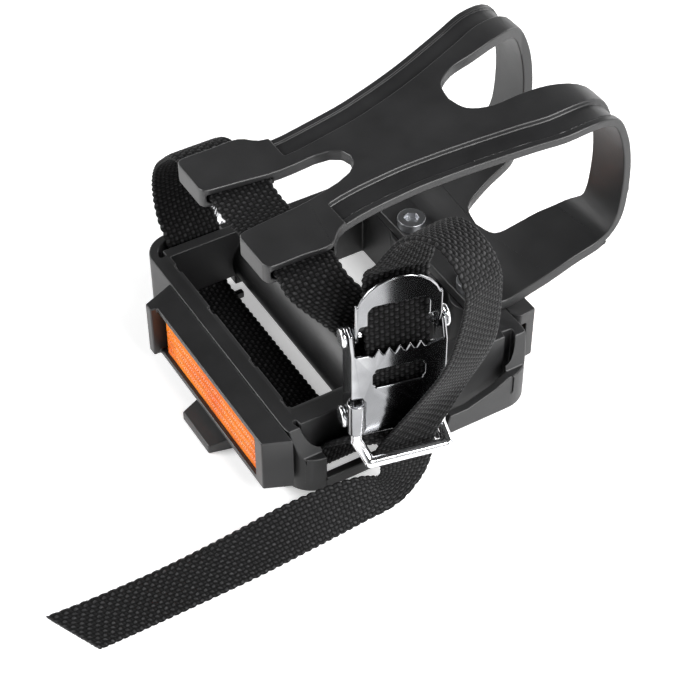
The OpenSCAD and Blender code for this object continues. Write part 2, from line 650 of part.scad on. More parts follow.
strap_under = [pair(guard_x + 0.5, slot_y, -6), pair(guard_x + 4.5, slot_y, -8.6),
    pair(bar_x + 12, slot_y, -9.1),
    pair(40, slot_y, -9.2), pair(60, slot_y, -9.4), pair(78, slot_y, -9.2), pair(deck_x0 + 1, slot_y, -8.4),
    pair(deck_x1 - 0.6, slot_y, -7.2), pair(channel_x - 0.1, slot_y, -3)];
strap_rise = [beside([-10.3, -28.9, 2.6], [-8.2, -12.8, 3]), beside([-7.1, -28, 6.4], [-4.5, -10.6, 6.4]),
    beside([-3.9, -24.4, 8.6], [-0.3, -6.8, 8.6]), turned(2.2, 9.8), turned(3.1, 14), turned(3.1, 22),
    turned(3.1, 34), turned(3.1, 44), turned(2.35, 50.5), turned(1.3, 58), turned(1, 69)];
strap_loop = [beside([4.1, -21.2, 76], [4.3, -3.6, 73]), beside([11.9, -18.8, 89], [6.5, -3.4, 84]),
    beside([22.5, -17.6, 96], [14.7, -2.4, 91]), beside([29.9, -16.6, 95], [22.1, -1.2, 90]),
    beside([34.1, -15.6, 90], [26.5, -0.2, 85.6]), beside([34.1, -14.8, 82.6], [27.1, 0.8, 79]),
    beside([29.5, -14.4, 65], [24.9, 2.4, 62.4]), beside([24.5, -14.6, 52], [21.1, 2.8, 50.6]),
    beside([15.1, -15, 34], [14.7, 2.2, 35.6]), beside([8.1, -17, 20], [12.9, -1.4, 25.6]),
    beside([5.3, -20.6, 11.4], [11.2, -4.8, 16.5]), beside([5.9, -19.6, 5.2], [9.3, -4.8, 5.4])];
strap_tail = [beside([5.5, -19.2, 2], [8.5, -6.9, -2.6]), beside([5.1, -19.8, 1], [7.7, -11.6, bot_z + 3]),
    beside([4.7, -20.8, 1.4], [7.5, -17, edge_z]), beside([3.9, -25, 2.6], [7.9, -24, edge_z]),
    beside([2.1, -33, 2], [8.5, -31.6, edge_z]), beside([-0.1, -46, bot_z + 11.9], [9.5, -43.6, floor_z]),
    beside([-3.5, -61, bot_z + 5.5], [10.3, -59, floor_z]),
    beside([-5.7, -80, bot_z + 1.1], [10.5, -79, floor_z]),
    beside([-6.1, -98.4, floor_z], [10.5, -94.6, floor_z]),
    beside([-6.9, -114, floor_z], [10.3, -105.8, floor_z])];
strap_rows = concat(strap_sewn, strap_top, strap_fall, strap_under, strap_rise, strap_loop, strap_tail);
strap_a = curve([for (r = strap_rows) r[0]], 2);
strap_b = curve([for (r = strap_rows) r[1]], 2);
strap_mid = [for (i = [0:len(strap_a) - 1]) (strap_a[i] + strap_b[i]) / 2];
function strap_normal(i) = unit(cross(at(strap_mid, i + 1) - at(strap_mid, i - 1), strap_b[i] - strap_a[i]));

module toe_strap() color(nylon) {
    n = len(strap_a);
    h = strap_t / 2;
    points = [for (i = [0:n - 1]) let (u = strap_normal(i) * h)
        each [strap_a[i] + u, strap_b[i] + u, strap_b[i] - u, strap_a[i] - u]];
    sides = [for (i = [0:n - 2], k = [0:3]) let (a = 4 * i + k, b = 4 * i + (k + 1) % 4)
        each [[a, b, b + 4], [a, b + 4, a + 4]]];
    ends = [[3, 2, 1], [3, 1, 0], [4 * n - 4, 4 * n - 3, 4 * n - 2], [4 * n - 4, 4 * n - 2, 4 * n - 1]];
    polyhedron(points = points, faces = concat(sides, ends));
}

module at_buckle() translate([pin_x, buckle_y, 0]) rotate([0, 0, -buckle_turn])
    translate([-pin_x, 0, 0]) children();

// The cheeks carry both pins, and the face between them has the teeth and a slot
module cheek_outline() difference() {
    union() {
        polygon([[pin_x - 2.6, low_z - 3.4], [plate_x + buckle_t, low_z - 3.4],
            [plate_x + buckle_t, high_z - 3.4], [pin_x + 3.2, high_z + 2.6], [pin_x - 2.6, high_z + 2.6]]);
        translate([pin_x, high_z]) circle(pin_head_d / 2);
    }
    for (z = [low_z, high_z]) translate([pin_x, z]) circle(pin_d / 2 + seat_gap);
}

module buckle_frame() color(chrome) at_buckle() difference() {
    union() {
        for (s = [-1, 1]) translate([0, s > 0 ? cheek_w / 2 : -cheek_w / 2 + buckle_t, 0])
            rotate([90, 0, 0]) linear_extrude(buckle_t) cheek_outline();
        translate([plate_x, 0, 0]) rotate([90, 0, 90]) linear_extrude(buckle_t) polygon(concat(
            [[-plate_half, low_z - 3.4], [plate_half, low_z - 3.4], [plate_half, high_z - 3.4],
                [slot_half + 1.4, high_z - 3.4]],
            [for (i = [0:tooth_count - 1], k = [0:1])
                [slot_half * (1 - (2 * i + k) / tooth_count), high_z - 4.4 + k * tooth_h]],
            [[-slot_half, high_z - 4.4], [-slot_half - 1.4, high_z - 3.4], [-plate_half, high_z - 3.4]]));
        // Rolled ears that grip the bail
        for (s = [-1, 1]) translate([bail_x, s * bail_half, ear_z]) cylinder(d = bail_d + 1.6, h = ear_h);
    }
    // Slot with rounded ends under the teeth
    translate([plate_x - 1, 0, high_z - 12.4]) rotate([90, 0, 90]) linear_extrude(3) union() {
        square([2 * slot_half, 4], center = true);
        square([2 * slot_half - 1.2, 6.4], center = true);
    }
    for (s = [-1, 1]) translate([bail_x, s * bail_half, ear_z - 6])
        cylinder(d = bail_d + 4 * seat_gap, h = ear_h + 7);
}

// The finger arch that is lifted to free the strap
module buckle_lever() color(chrome) at_buckle() {
    for (s = [-1, 1]) translate([0, s > 0 ? lever_half + buckle_t : -lever_half, 0])
        rotate([90, 0, 0]) linear_extrude(buckle_t) difference() {
            union() {
                translate([pin_x, high_z]) circle(pin_head_d / 2 - 0.2);
                polygon([[pin_x - 2.4, high_z + 0.6], [pin_x + 2.7, high_z],
                    [lever_x + buckle_t, high_z + 5], [lever_x + buckle_t, high_z + arch_h - 8],
                    [lever_x, high_z + arch_h - 8], [lever_x - 0.4, high_z + 5]]);
            }
            translate([pin_x, high_z]) circle(pin_d / 2 + seat_gap);
        }
    translate([lever_x, 0, 0]) rotate([90, 0, 90]) linear_extrude(buckle_t) difference() {
        polygon(concat([[-lever_half - buckle_t, high_z + 5.6]],
            [for (a = [180:-15:0]) [(lever_half + buckle_t) * cos(a), high_z + 9 + (arch_h - 9) * sin(a)]],
            [[lever_half + buckle_t, high_z + 5.6]]));
        polygon([[-lever_half + 2.4, high_z], [-lever_half + 2.4, high_z + 10.4],
            [-lever_half + 3.6, high_z + 11.8],
            [lever_half - 3.6, high_z + 11.8], [lever_half - 2.4, high_z + 10.4],
            [lever_half - 2.4, high_z]]);
    }
}

// A pin with a round head at each end
module headed_pin(z, reach) at_buckle() {
    bar_y(pin_x, z, -reach - 0.6, reach + 0.6, pin_d / 2);
    for (s = [-1, 1])
        bar_y(pin_x, z, s > 0 ? reach : -reach - 1.5, s > 0 ? reach + 1.5 : -reach, pin_head_d / 2);
}

module lever_pin() color(chrome) headed_pin(high_z, cheek_w / 2 + fit_gap);
module strap_pin() color(chrome) headed_pin(low_z, cheek_w / 2 + fit_gap);

// A round wire between two points
module wire(a, b) translate(a) rotate([0, acos((b - a)[2] / norm(b - a)), atan2((b - a)[1], (b - a)[0])])
    cylinder(d = bail_d, h = norm(b - a));

module buckle_bail() color(chrome) at_buckle() {
    ends = [[bail_x + bail_reach, -bail_half + 2.3, bail_z],
        [bail_x + bail_reach + 0.9, bail_half + 0.3, bail_z + 1.5]];
    for (s = [0, 1]) {
        top = [bail_x, (2 * s - 1) * bail_half, ear_z - 3.4];
        translate(top) cylinder(d = bail_d, h = ear_h + 3);
        translate(top) sphere(d = bail_d * 1.05);
        wire(top, ends[s]);
        translate(ends[s]) sphere(d = bail_d * 1.05);
    }
    wire(ends[0], ends[1]);
}

pedal_body();
rear_reflector_housing();
rear_reflector_lens();
front_reflector_housing();
front_reflector_lens();
toe_clip();
clip_bolts();
clip_washers();
clip_nuts();
spindle();
spindle_seal();
inner_cup();
inner_balls();
outer_cup();
outer_balls();
outer_cone();
keyed_washer();
lock_nut();
dust_cap();
toe_strap();
buckle_frame();
buckle_lever();
lever_pin();
strap_pin();
buckle_bail();
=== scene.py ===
"""Looks of a bicycle pedal with a toe clip, a webbing strap and a cam buckle."""

import json
import math

import bmesh
import bpy
import numpy as np
from bpy.props import FloatProperty, FloatVectorProperty, IntProperty, PointerProperty
from mathutils import Matrix, Vector


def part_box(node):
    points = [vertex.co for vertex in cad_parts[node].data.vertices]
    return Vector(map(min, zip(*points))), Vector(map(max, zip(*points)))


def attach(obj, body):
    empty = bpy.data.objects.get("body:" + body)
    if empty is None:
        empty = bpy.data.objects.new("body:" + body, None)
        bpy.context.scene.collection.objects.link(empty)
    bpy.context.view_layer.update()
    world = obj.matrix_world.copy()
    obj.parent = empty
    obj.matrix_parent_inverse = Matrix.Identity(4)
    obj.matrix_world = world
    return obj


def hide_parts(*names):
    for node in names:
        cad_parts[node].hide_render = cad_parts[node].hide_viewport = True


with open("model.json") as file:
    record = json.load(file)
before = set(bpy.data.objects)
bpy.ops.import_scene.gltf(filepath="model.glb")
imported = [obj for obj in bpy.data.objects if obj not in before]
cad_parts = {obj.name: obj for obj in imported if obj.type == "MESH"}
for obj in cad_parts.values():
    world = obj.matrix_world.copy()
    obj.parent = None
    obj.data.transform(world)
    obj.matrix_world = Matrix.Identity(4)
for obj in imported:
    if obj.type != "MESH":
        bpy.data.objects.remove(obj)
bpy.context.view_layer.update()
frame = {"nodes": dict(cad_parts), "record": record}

bl_info = {
    "name": "Pedal with toe clip",
    "version": (1, 0, 0),
    "blender": (4, 5, 0),
    "location": "3D View > Sidebar > Pedal",
    "description": "Dresses a pedal's solids with moulded resin, chrome, amber and webbing",
    "category": "Object",
}

MM = 0.001
DOUBLE_POINTS = 0.002 * MM
BODY_LOW = Vector(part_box("pedal_body")[0])


class PedalSizes(bpy.types.PropertyGroup):
    """Sizes of the fine forms that the looks add"""

    moulded_edge: FloatProperty(
        name="Moulded edge", description="Rounding of the resin pieces' edges",
        default=0.45 * MM, min=0, unit="LENGTH")
    clip_edge: FloatProperty(
        name="Toe clip edge", description="Rounding of the toe clip's edges",
        default=0.5 * MM, min=0, unit="LENGTH")
    pressed_edge: FloatProperty(
        name="Pressed edge", description="Rounding of the buckle's sheet edges",
        default=0.48 * MM, min=0, unit="LENGTH")
    turned_edge: FloatProperty(
        name="Turned edge", description="Rounding of the bolts, washers, nuts and seal",
        default=0.2 * MM, min=0, unit="LENGTH")
    lens_edge: FloatProperty(
        name="Lens edge", description="Rounding of the lenses' edges",
        default=0.3 * MM, min=0, unit="LENGTH")
    head_edge: FloatProperty(
        name="Pin head edge", description="Rounding of the buckle pins' heads",
        default=0.68 * MM, min=0, unit="LENGTH")
    strap_width: FloatProperty(
        name="Strap width", description="Width of the webbing",
        default=18 * MM, unit="LENGTH")
    strap_thickness: FloatProperty(
        name="Strap thickness", description="Thickness of the webbing over its yarns",
        default=1.5 * MM, unit="LENGTH")
    yarn_count: IntProperty(
        name="Yarns", description="Yarns side by side across the webbing", default=13, min=4)
    pick_pitch: FloatProperty(
        name="Pick pitch", description="Distance between crossing yarns along the webbing",
        default=1.18 * MM, unit="LENGTH")
    yarn_relief: FloatProperty(
        name="Yarn relief", description="How far a yarn stands out of the webbing",
        default=0.5 * MM, unit="LENGTH")
    prism_pitch: FloatProperty(
        name="Prism pitch", description="Distance between the lens's prisms",
        default=2.0 * MM, unit="LENGTH")
    prism_height: FloatProperty(
        name="Prism height", description="Height of the lens's prisms",
        default=0.45 * MM, unit="LENGTH")
    prism_margin: FloatProperty(
        name="Prism margin", description="Plain border round the lens's prisms",
        default=0.5 * MM, unit="LENGTH")
    thread_radius: FloatProperty(
        name="Thread radius", description="Outside radius of the spindle's thread",
        default=7.14 * MM, unit="LENGTH")
    thread_pitch: FloatProperty(
        name="Thread pitch", description="Pitch of the spindle's thread",
        default=1.27 * MM, unit="LENGTH")
    thread_depth: FloatProperty(
        name="Thread depth", description="Depth of the spindle's thread",
        default=0.72 * MM, unit="LENGTH")


class PedalColours(bpy.types.PropertyGroup):
    """Colours of the finishes"""

    resin: FloatVectorProperty(
        name="Resin", description="Black moulded resin", subtype="COLOR",
        default=(0.0105, 0.0105, 0.011))
    resin_worn: FloatVectorProperty(
        name="Rubbed resin", description="Resin on rubbed edges", subtype="COLOR",
        default=(0.034, 0.034, 0.035))
    webbing: FloatVectorProperty(
        name="Webbing", description="Black nylon yarn", subtype="COLOR",
        default=(0.0075, 0.0075, 0.008))
    # Painted shade: this colour darkens the webbing between its yarns, where shade falls.
    webbing_painted_shade: FloatVectorProperty(
        name="Webbing gap", description="Shade between the yarns", subtype="COLOR",
        default=(0.0015, 0.0015, 0.0016))
    # Painted highlight: this colour lightens the tops of the yarns in specks, where they would catch
    # the light.
    webbing_painted_highlight: FloatVectorProperty(
        name="Webbing light", description="Yarn where its filaments catch light",
        subtype="COLOR", default=(0.065, 0.065, 0.067))
    amber: FloatVectorProperty(
        name="Amber", description="Reflector lens", subtype="COLOR",
        default=(1.0, 0.31, 0.008))
    # Painted reflection: this dimmer amber is laid in cloudy patches over the lens, as its prisms
    # throw the light back unevenly; it doesn't follow the prisms.
    amber_painted_dim: FloatVectorProperty(
        name="Deep amber", description="Lens between its prisms", subtype="COLOR",
        default=(0.85, 0.14, 0.002))
    chrome: FloatVectorProperty(
        name="Chrome", description="Bright plating", subtype="COLOR",
        default=(0.93, 0.935, 0.95))
    # Painted dark reflection: the buckle's pressed faces take this dark colour, and only their rims
    # keep the full bright chrome as a painted highlight.
    chrome_painted_dark: FloatVectorProperty(
        name="Shaded chrome", description="Plating on the faces between the rims",
        subtype="COLOR", default=(0.19, 0.193, 0.2))
    steel: FloatVectorProperty(
        name="Steel", description="Zinc plated steel", subtype="COLOR",
        default=(0.56, 0.57, 0.59))
    steel_dull: FloatVectorProperty(
        name="Dull steel", description="Plating in hollows", subtype="COLOR",
        default=(0.4, 0.41, 0.43))
    rubber: FloatVectorProperty(
        name="Rubber", description="Dust seal", subtype="COLOR",
        default=(0.02, 0.02, 0.02))
    floor: FloatVectorProperty(
        name="Floor", description="Floor as the camera sees it", subtype="COLOR",
        default=(0.95, 0.95, 0.95))
    floor_bounce: FloatVectorProperty(
        name="Floor bounce", description="Floor as it lights the object", subtype="COLOR",
        default=(0.6, 0.6, 0.6))


def sizes():
    return bpy.context.scene.pedal_sizes


def colours():
    return bpy.context.scene.pedal_colours


def rgba(colour):
    return (*colour, 1.0)


# Shader helpers

def shader_group(name, inputs, outputs):
    """An empty shader group with named sockets, and its two ends."""
    tree = bpy.data.node_groups.new(name, "ShaderNodeTree")
    for label, value in inputs.items():
        kind = "NodeSocketVector" if value is None else "NodeSocketFloat"
        socket = tree.interface.new_socket(label, in_out="INPUT", socket_type=kind)
        if value is not None:
            socket.default_value = value
    for label in outputs:
        tree.interface.new_socket(label, in_out="OUTPUT", socket_type="NodeSocketFloat")
    start = tree.nodes.new("NodeGroupInput")
    end = tree.nodes.new("NodeGroupOutput")
    start.location, end.location = (-800, 0), (600, 0)
    return tree, start, end


def math_node(tree, operation, a, b=None, c=None, clamp=False):
    made = tree.nodes.new("ShaderNodeMath")
    made.operation = operation
    made.use_clamp = clamp
    for socket, value in zip(made.inputs, (a, b, c)):
        if value is None:
            continue
        if hasattr(value, "links"):
            tree.links.new(value, socket)
        else:
            socket.default_value = value
    return made.outputs[0]


def grain_group():
    """Fine moulded or blasted grain, with a slow change of tone."""
    tree, start, end = shader_group(
        "Grain", {"Vector": None, "Grain scale": 900.0, "Cloud scale": 45.0}, ["Height", "Tone"])
    fine = tree.nodes.new("ShaderNodeTexNoise")
    fine.inputs["Detail"].default_value = 3
    tree.links.new(start.outputs["Vector"], fine.inputs["Vector"])
    tree.links.new(start.outputs["Grain scale"], fine.inputs["Scale"])
    cloud = tree.nodes.new("ShaderNodeTexNoise")
    cloud.inputs["Detail"].default_value = 4
    cloud.inputs["Roughness"].default_value = 0.6
    tree.links.new(start.outputs["Vector"], cloud.inputs["Vector"])
    tree.links.new(start.outputs["Cloud scale"], cloud.inputs["Scale"])
    tone = math_node(tree, "MULTIPLY_ADD", cloud.outputs["Fac"], 2.2, -0.6, clamp=True)
    tree.links.new(fine.outputs["Fac"], end.inputs["Height"])
    tree.links.new(tone, end.inputs["Tone"])
    return tree


def rub_and_rim_highlight_group():
    """Mask of sharp edges, broken up by noise: on the resin, edges that handling has rubbed; on the
    pressed chrome, the rims kept bright as a painted highlight.
    """
    tree, start, end = shader_group(
        "Rubbed edges and rim highlights", {"Vector": None, "Edge": 0.54, "Break up": 160.0}, ["Mask"])
    shape = tree.nodes.new("ShaderNodeNewGeometry")
    patch = tree.nodes.new("ShaderNodeTexNoise")
    patch.inputs["Detail"].default_value = 3
    tree.links.new(start.outputs["Vector"], patch.inputs["Vector"])
    tree.links.new(start.outputs["Break up"], patch.inputs["Scale"])
    over = math_node(tree, "SUBTRACT", shape.outputs["Pointiness"], start.outputs["Edge"])
    steep = math_node(tree, "MULTIPLY", over, 14.0, clamp=True)
    broken = math_node(tree, "MULTIPLY", steep, patch.outputs["Fac"], clamp=True)
    tree.links.new(broken, end.inputs["Mask"])
    return tree


def weave_group():
    """A plain weave on the webbing's own UV map, one unit to a yarn: its height, a mask for painted
    shade between the yarns, and painted highlights on their tops.
    """
    tree, start, end = shader_group("Plain weave", {"Vector": None, "Fineness": 3.0},
                                    ["Height", "Body", "Light"])
    parts = tree.nodes.new("ShaderNodeSeparateXYZ")
    tree.links.new(start.outputs["Vector"], parts.inputs[0])

    def wave(value):
        turns = math_node(tree, "MULTIPLY", value, math.pi)
        return math_node(tree, "ABSOLUTE", math_node(tree, "SINE", turns))

    warp, weft = wave(parts.outputs["X"]), wave(parts.outputs["Y"])
    cell = math_node(tree, "ADD", math_node(tree, "FLOOR", parts.outputs["X"]),
                     math_node(tree, "FLOOR", parts.outputs["Y"]))
    under = math_node(tree, "PINGPONG", cell, 1.0)
    over = math_node(tree, "SUBTRACT", 1.0, under)
    nub = math_node(tree, "MULTIPLY", over, math_node(
        tree, "MULTIPLY", warp, math_node(tree, "MULTIPLY_ADD", weft, 0.7, 0.3)))
    dip = math_node(tree, "MULTIPLY", under, math_node(
        tree, "MULTIPLY", weft, math_node(tree, "MULTIPLY_ADD", warp, 0.4, 0.1)))
    height = math_node(tree, "ADD", nub, dip)
    stretch = tree.nodes.new("ShaderNodeMapping")
    stretch.inputs["Scale"].default_value = (5.0, 1.0, 1.0)
    tree.links.new(start.outputs["Vector"], stretch.inputs["Vector"])
    strands = tree.nodes.new("ShaderNodeTexNoise")
    strands.inputs["Detail"].default_value = 3
    tree.links.new(stretch.outputs["Vector"], strands.inputs["Vector"])
    tree.links.new(start.outputs["Fineness"], strands.inputs["Scale"])
    flecks = tree.nodes.new("ShaderNodeTexNoise")
    flecks.inputs["Scale"].default_value = 0.9
    flecks.inputs["Detail"].default_value = 5
    flecks.inputs["Roughness"].default_value = 0.8
    tree.links.new(start.outputs["Vector"], flecks.inputs["Vector"])
    # Light is a painted highlight on the tops of the yarns that lie over, broken into specks by
    # noise. Body is the mask for the painted shade between the yarns.
    bright = math_node(tree, "MULTIPLY_ADD", flecks.outputs["Fac"], 3.4, -1.35, clamp=True)
    peak = math_node(tree, "MULTIPLY_ADD", nub, 2.2, -0.9, clamp=True)
    body = math_node(tree, "MULTIPLY_ADD", height, 2.4, -0.25, clamp=True)
    relief = math_node(tree, "MULTIPLY_ADD", strands.outputs["Fac"], 0.35, height)
    tree.links.new(relief, end.inputs["Height"])
    tree.links.new(body, end.inputs["Body"])
    tree.links.new(math_node(tree, "MULTIPLY", peak, bright), end.inputs["Light"])
    return tree


GROUPS = {"Grain": grain_group, "Rubbed edges and rim highlights": rub_and_rim_highlight_group, "Plain weave": weave_group}


def place_group(tree, name, **values):
    """Puts a shared shader group into a material, with its own values."""
    made = tree.nodes.new("ShaderNodeGroup")
    made.node_tree = bpy.data.node_groups.get(name) or GROUPS[name]()
    for label, value in values.items():
        socket = made.inputs[label.replace("_", " ")]
        if hasattr(value, "links"):
            tree.links.new(value, socket)
        else:
            socket.default_value = value
    return made


def new_material(name):
    """A material with a Principled shader, its tree and its Object coordinates."""
    made = bpy.data.materials.new(name)
    made.use_nodes = True
    tree = made.node_tree
    shader = tree.nodes["Principled BSDF"]
    place = tree.nodes.new("ShaderNodeTexCoord")
    place.location = (-1200, 0)
    return made, tree, shader, place


def mix_colours(tree, fac, first, second):
    made = tree.nodes.new("ShaderNodeMix")
    made.data_type = "RGBA"
    for name, value in (("Factor", fac), ("A", first), ("B", second)):
        kind = "VALUE" if name == "Factor" else "RGBA"
        socket = next(s for s in made.inputs if s.name == name and s.type == kind)
        if hasattr(value, "links"):
            tree.links.new(value, socket)
        else:
            socket.default_value = value
    return next(s for s in made.outputs if s.type == "RGBA")


def bump(tree, shader, height, strength, distance):
    made = tree.nodes.new("ShaderNodeBump")
    made.inputs["Strength"].default_value = strength
    made.inputs["Distance"].default_value = distance
    tree.links.new(height, made.inputs["Height"])
    tree.links.new(made.outputs["Normal"], shader.inputs["Normal"])


def resin_material(name, grain_scale, rough_low, rough_high, relief):
    """Black moulded resin: fine grain, uneven gloss and rubbed edges."""
    made, tree, shader, place = new_material(name)
    grain = place_group(tree, "Grain", Vector=place.outputs["Object"],
                        Grain_scale=grain_scale, Cloud_scale=55.0)
    rubbed = place_group(tree, "Rubbed edges and rim highlights", Vector=place.outputs["Object"], Edge=0.535)
    dark = rgba(colours().resin)
    light = rgba([c * 1.5 for c in colours().resin])
    base = mix_colours(tree, grain.outputs["Tone"], dark, light)
    base = mix_colours(tree, rubbed.outputs["Mask"], base, rgba(colours().resin_worn))
    tree.links.new(base, shader.inputs["Base Color"])
    gloss = math_node(tree, "MULTIPLY_ADD", grain.outputs["Tone"], rough_high - rough_low, rough_low)
    tree.links.new(gloss, shader.inputs["Roughness"])
    shader.inputs["Specular IOR Level"].default_value = 0.65
    bump(tree, shader, grain.outputs["Height"], 0.35, relief)
    return made


def metal_material(name, bright, dull, rough, scale, relief):
    """Plated or ground metal with a slow change of gloss."""
    made, tree, shader, place = new_material(name)
    grain = place_group(tree, "Grain", Vector=place.outputs["Object"],
                        Grain_scale=scale, Cloud_scale=90.0)
    base = mix_colours(tree, grain.outputs["Tone"], rgba(dull), rgba(bright))
    tree.links.new(base, shader.inputs["Base Color"])
    shader.inputs["Metallic"].default_value = 1.0
    gloss = math_node(tree, "MULTIPLY_ADD", grain.outputs["Tone"], -0.5 * rough, 1.2 * rough)
    tree.links.new(gloss, shader.inputs["Roughness"])
    bump(tree, shader, grain.outputs["Height"], 0.2, relief)
    return made


def pressed_chrome_material(name):
    """Bright plate over pressed sheet: slow waves in its faces, which are painted dark as a painted
    dark reflection, and rims kept at the full bright chrome as a painted highlight.
    """
    made, tree, shader, place = new_material(name)
    waves = place_group(tree, "Grain", Vector=place.outputs["Object"],
                        Grain_scale=60.0, Cloud_scale=70.0)
    # The rims mask keeps the full chrome on the sharp edges as a painted highlight; between them the
    # faces get the painted dark reflection.
    rims = place_group(tree, "Rubbed edges and rim highlights", Vector=place.outputs["Object"], Edge=0.52)
    face = mix_colours(tree, waves.outputs["Tone"], rgba(colours().chrome_painted_dark),
                       rgba([1.25 * c for c in colours().chrome_painted_dark]))
    base = mix_colours(tree, rims.outputs["Mask"], face, rgba(colours().chrome))
    tree.links.new(base, shader.inputs["Base Color"])
    shader.inputs["Metallic"].default_value = 1.0
    gloss = math_node(tree, "MULTIPLY_ADD", waves.outputs["Tone"], 0.06, 0.16)
    tree.links.new(gloss, shader.inputs["Roughness"])
    bump(tree, shader, waves.outputs["Height"], 0.3, 0.6 * MM)
    return made


def amber_material(name):
    """Clear amber plastic with painted reflection: cloudy patches of brighter and dimmer amber stand
    for its prisms throwing the light back unevenly, and a faint painted glow of its own colour.
    """
    made, tree, shader, place = new_material(name)
    cells = tree.nodes.new("ShaderNodeTexVoronoi")
    cells.inputs["Scale"].default_value = 420.0
    tree.links.new(place.outputs["Object"], cells.inputs["Vector"])
    cloud = tree.nodes.new("ShaderNodeTexNoise")
    cloud.inputs["Scale"].default_value = 70.0
    cloud.inputs["Detail"].default_value = 3.0
    tree.links.new(place.outputs["Object"], cloud.inputs["Vector"])
    # Painted reflection: the cloud noise mixes dimmer and brighter amber in patches.
    fac = math_node(tree, "MULTIPLY_ADD", cloud.outputs["Fac"], 2.6, -0.85, clamp=True)
    base = mix_colours(tree, fac, rgba(colours().amber_painted_dim), rgba(colours().amber))
    tree.links.new(base, shader.inputs["Base Color"])
    # Painted glow: the lens gives off a faint light of its own colour, though it is no lamp.
    tree.links.new(base, shader.inputs["Emission Color"])
    shader.inputs["Emission Strength"].default_value = 0.02
    shader.inputs["Roughness"].default_value = 0.14
    shader.inputs["IOR"].default_value = 1.49
    shader.inputs["Coat Weight"].default_value = 0.3
    shader.inputs["Coat Roughness"].default_value = 0.04
    bump(tree, shader, cells.outputs["Distance"], 0.5, 0.25 * MM)
    return made


def webbing_material(name):
    """Black nylon webbing: a weave on its UV map, with painted shade between the yarns and painted
    highlights on their tops.
    """
    made, tree, shader, place = new_material(name)
    yarns = place_group(tree, "Plain weave", Vector=place.outputs["UV"], Fineness=3.0)
    # Painted shade between the yarns, then painted highlights on the yarns' tops.
    base = mix_colours(tree, yarns.outputs["Body"], rgba(colours().webbing_painted_shade),
                       rgba(colours().webbing))
    base = mix_colours(tree, yarns.outputs["Light"], base, rgba(colours().webbing_painted_highlight))
    tree.links.new(base, shader.inputs["Base Color"])
    gloss = math_node(tree, "MULTIPLY_ADD", yarns.outputs["Body"], -0.3, 0.8)
    tree.links.new(gloss, shader.inputs["Roughness"])
    shader.inputs["Specular IOR Level"].default_value = 0.2
    bump(tree, shader, yarns.outputs["Height"], 0.8, 0.3 * MM)
    return made


def rubber_material(name):
    """Moulded rubber with a dusty bloom."""
    made, tree, shader, place = new_material(name)
    grain = place_group(tree, "Grain", Vector=place.outputs["Object"], Grain_scale=1400.0)
    base = mix_colours(tree, grain.outputs["Tone"], rgba(colours().rubber),
                       rgba([2 * c for c in colours().rubber]))
    tree.links.new(base, shader.inputs["Base Color"])
    shader.inputs["Roughness"].default_value = 0.75
    bump(tree, shader, grain.outputs["Height"], 0.3, 0.05 * MM)
    return made


def finish_of(name):
    """The finish of that name, made once."""
    makers = {
        "Body resin": lambda n: resin_material(n, 1100.0, 0.4, 0.52, 0.05 * MM),
        "Housing resin": lambda n: resin_material(n, 1500.0, 0.36, 0.46, 0.04 * MM),
        "Clip resin": lambda n: resin_material(n, 1300.0, 0.36, 0.48, 0.04 * MM),
        "Cap resin": lambda n: resin_material(n, 1300.0, 0.36, 0.5, 0.04 * MM),
        "Pressed chrome": pressed_chrome_material,
        "Bright chrome": lambda n: metal_material(
            n, colours().chrome, [0.94 * c for c in colours().chrome], 0.15, 700.0, 0.004 * MM),
        "Plated steel": lambda n: metal_material(
            n, colours().steel, colours().steel_dull, 0.34, 900.0, 0.02 * MM),
        "Turned steel": lambda n: metal_material(
            n, colours().chrome, colours().steel, 0.24, 1200.0, 0.015 * MM),
        "Ground steel": lambda n: metal_material(
            n, colours().steel, colours().steel_dull, 0.2, 1500.0, 0.01 * MM),
        "Amber lens": amber_material,
        "Webbing": webbing_material,
        "Seal rubber": rubber_material,
    }
    return bpy.data.materials.get(name) or makers[name](name)


# Mesh helpers

def link_object(name, mesh, finish):
    mesh.materials.clear()
    mesh.materials.append(finish_of(finish))
    made = bpy.data.objects.new(name, mesh)
    bpy.context.scene.collection.objects.link(made)
    return made


def merged_copy(node, join=None):
    """The node's mesh with its doubles merged and its flat faces joined.

    At the height of a join, the two halves' outlines differ by a few hundredths of a
    millimetre, so their points there are set to the same fifth of a millimetre across.
    """
    shape = bmesh.new()
    shape.from_mesh(frame["nodes"][node].data)
    if join is not None:
        fifth = 0.2 * MM
        for point in shape.verts:
            if abs(point.co.z - join) < 0.01 * MM:
                point.co.x = round(point.co.x / fifth) * fifth
    bmesh.ops.remove_doubles(shape, verts=shape.verts, dist=DOUBLE_POINTS)
    if join is not None:
        bmesh.ops.dissolve_degenerate(shape, dist=DOUBLE_POINTS, edges=shape.edges)
    bmesh.ops.dissolve_limit(
        shape, angle_limit=math.radians(0.6), verts=shape.verts, edges=shape.edges)
    return shape


def baked(obj, name, finish):
    """A plain mesh of the object as its modifiers leave it."""
    bpy.context.view_layer.update()
    graph = bpy.context.evaluated_depsgraph_get()
    mesh = bpy.data.meshes.new_from_object(
        obj.evaluated_get(graph), preserve_all_data_layers=True, depsgraph=graph)
    bpy.data.objects.remove(obj)
    mesh.name = name
    return link_object(name, mesh, finish)


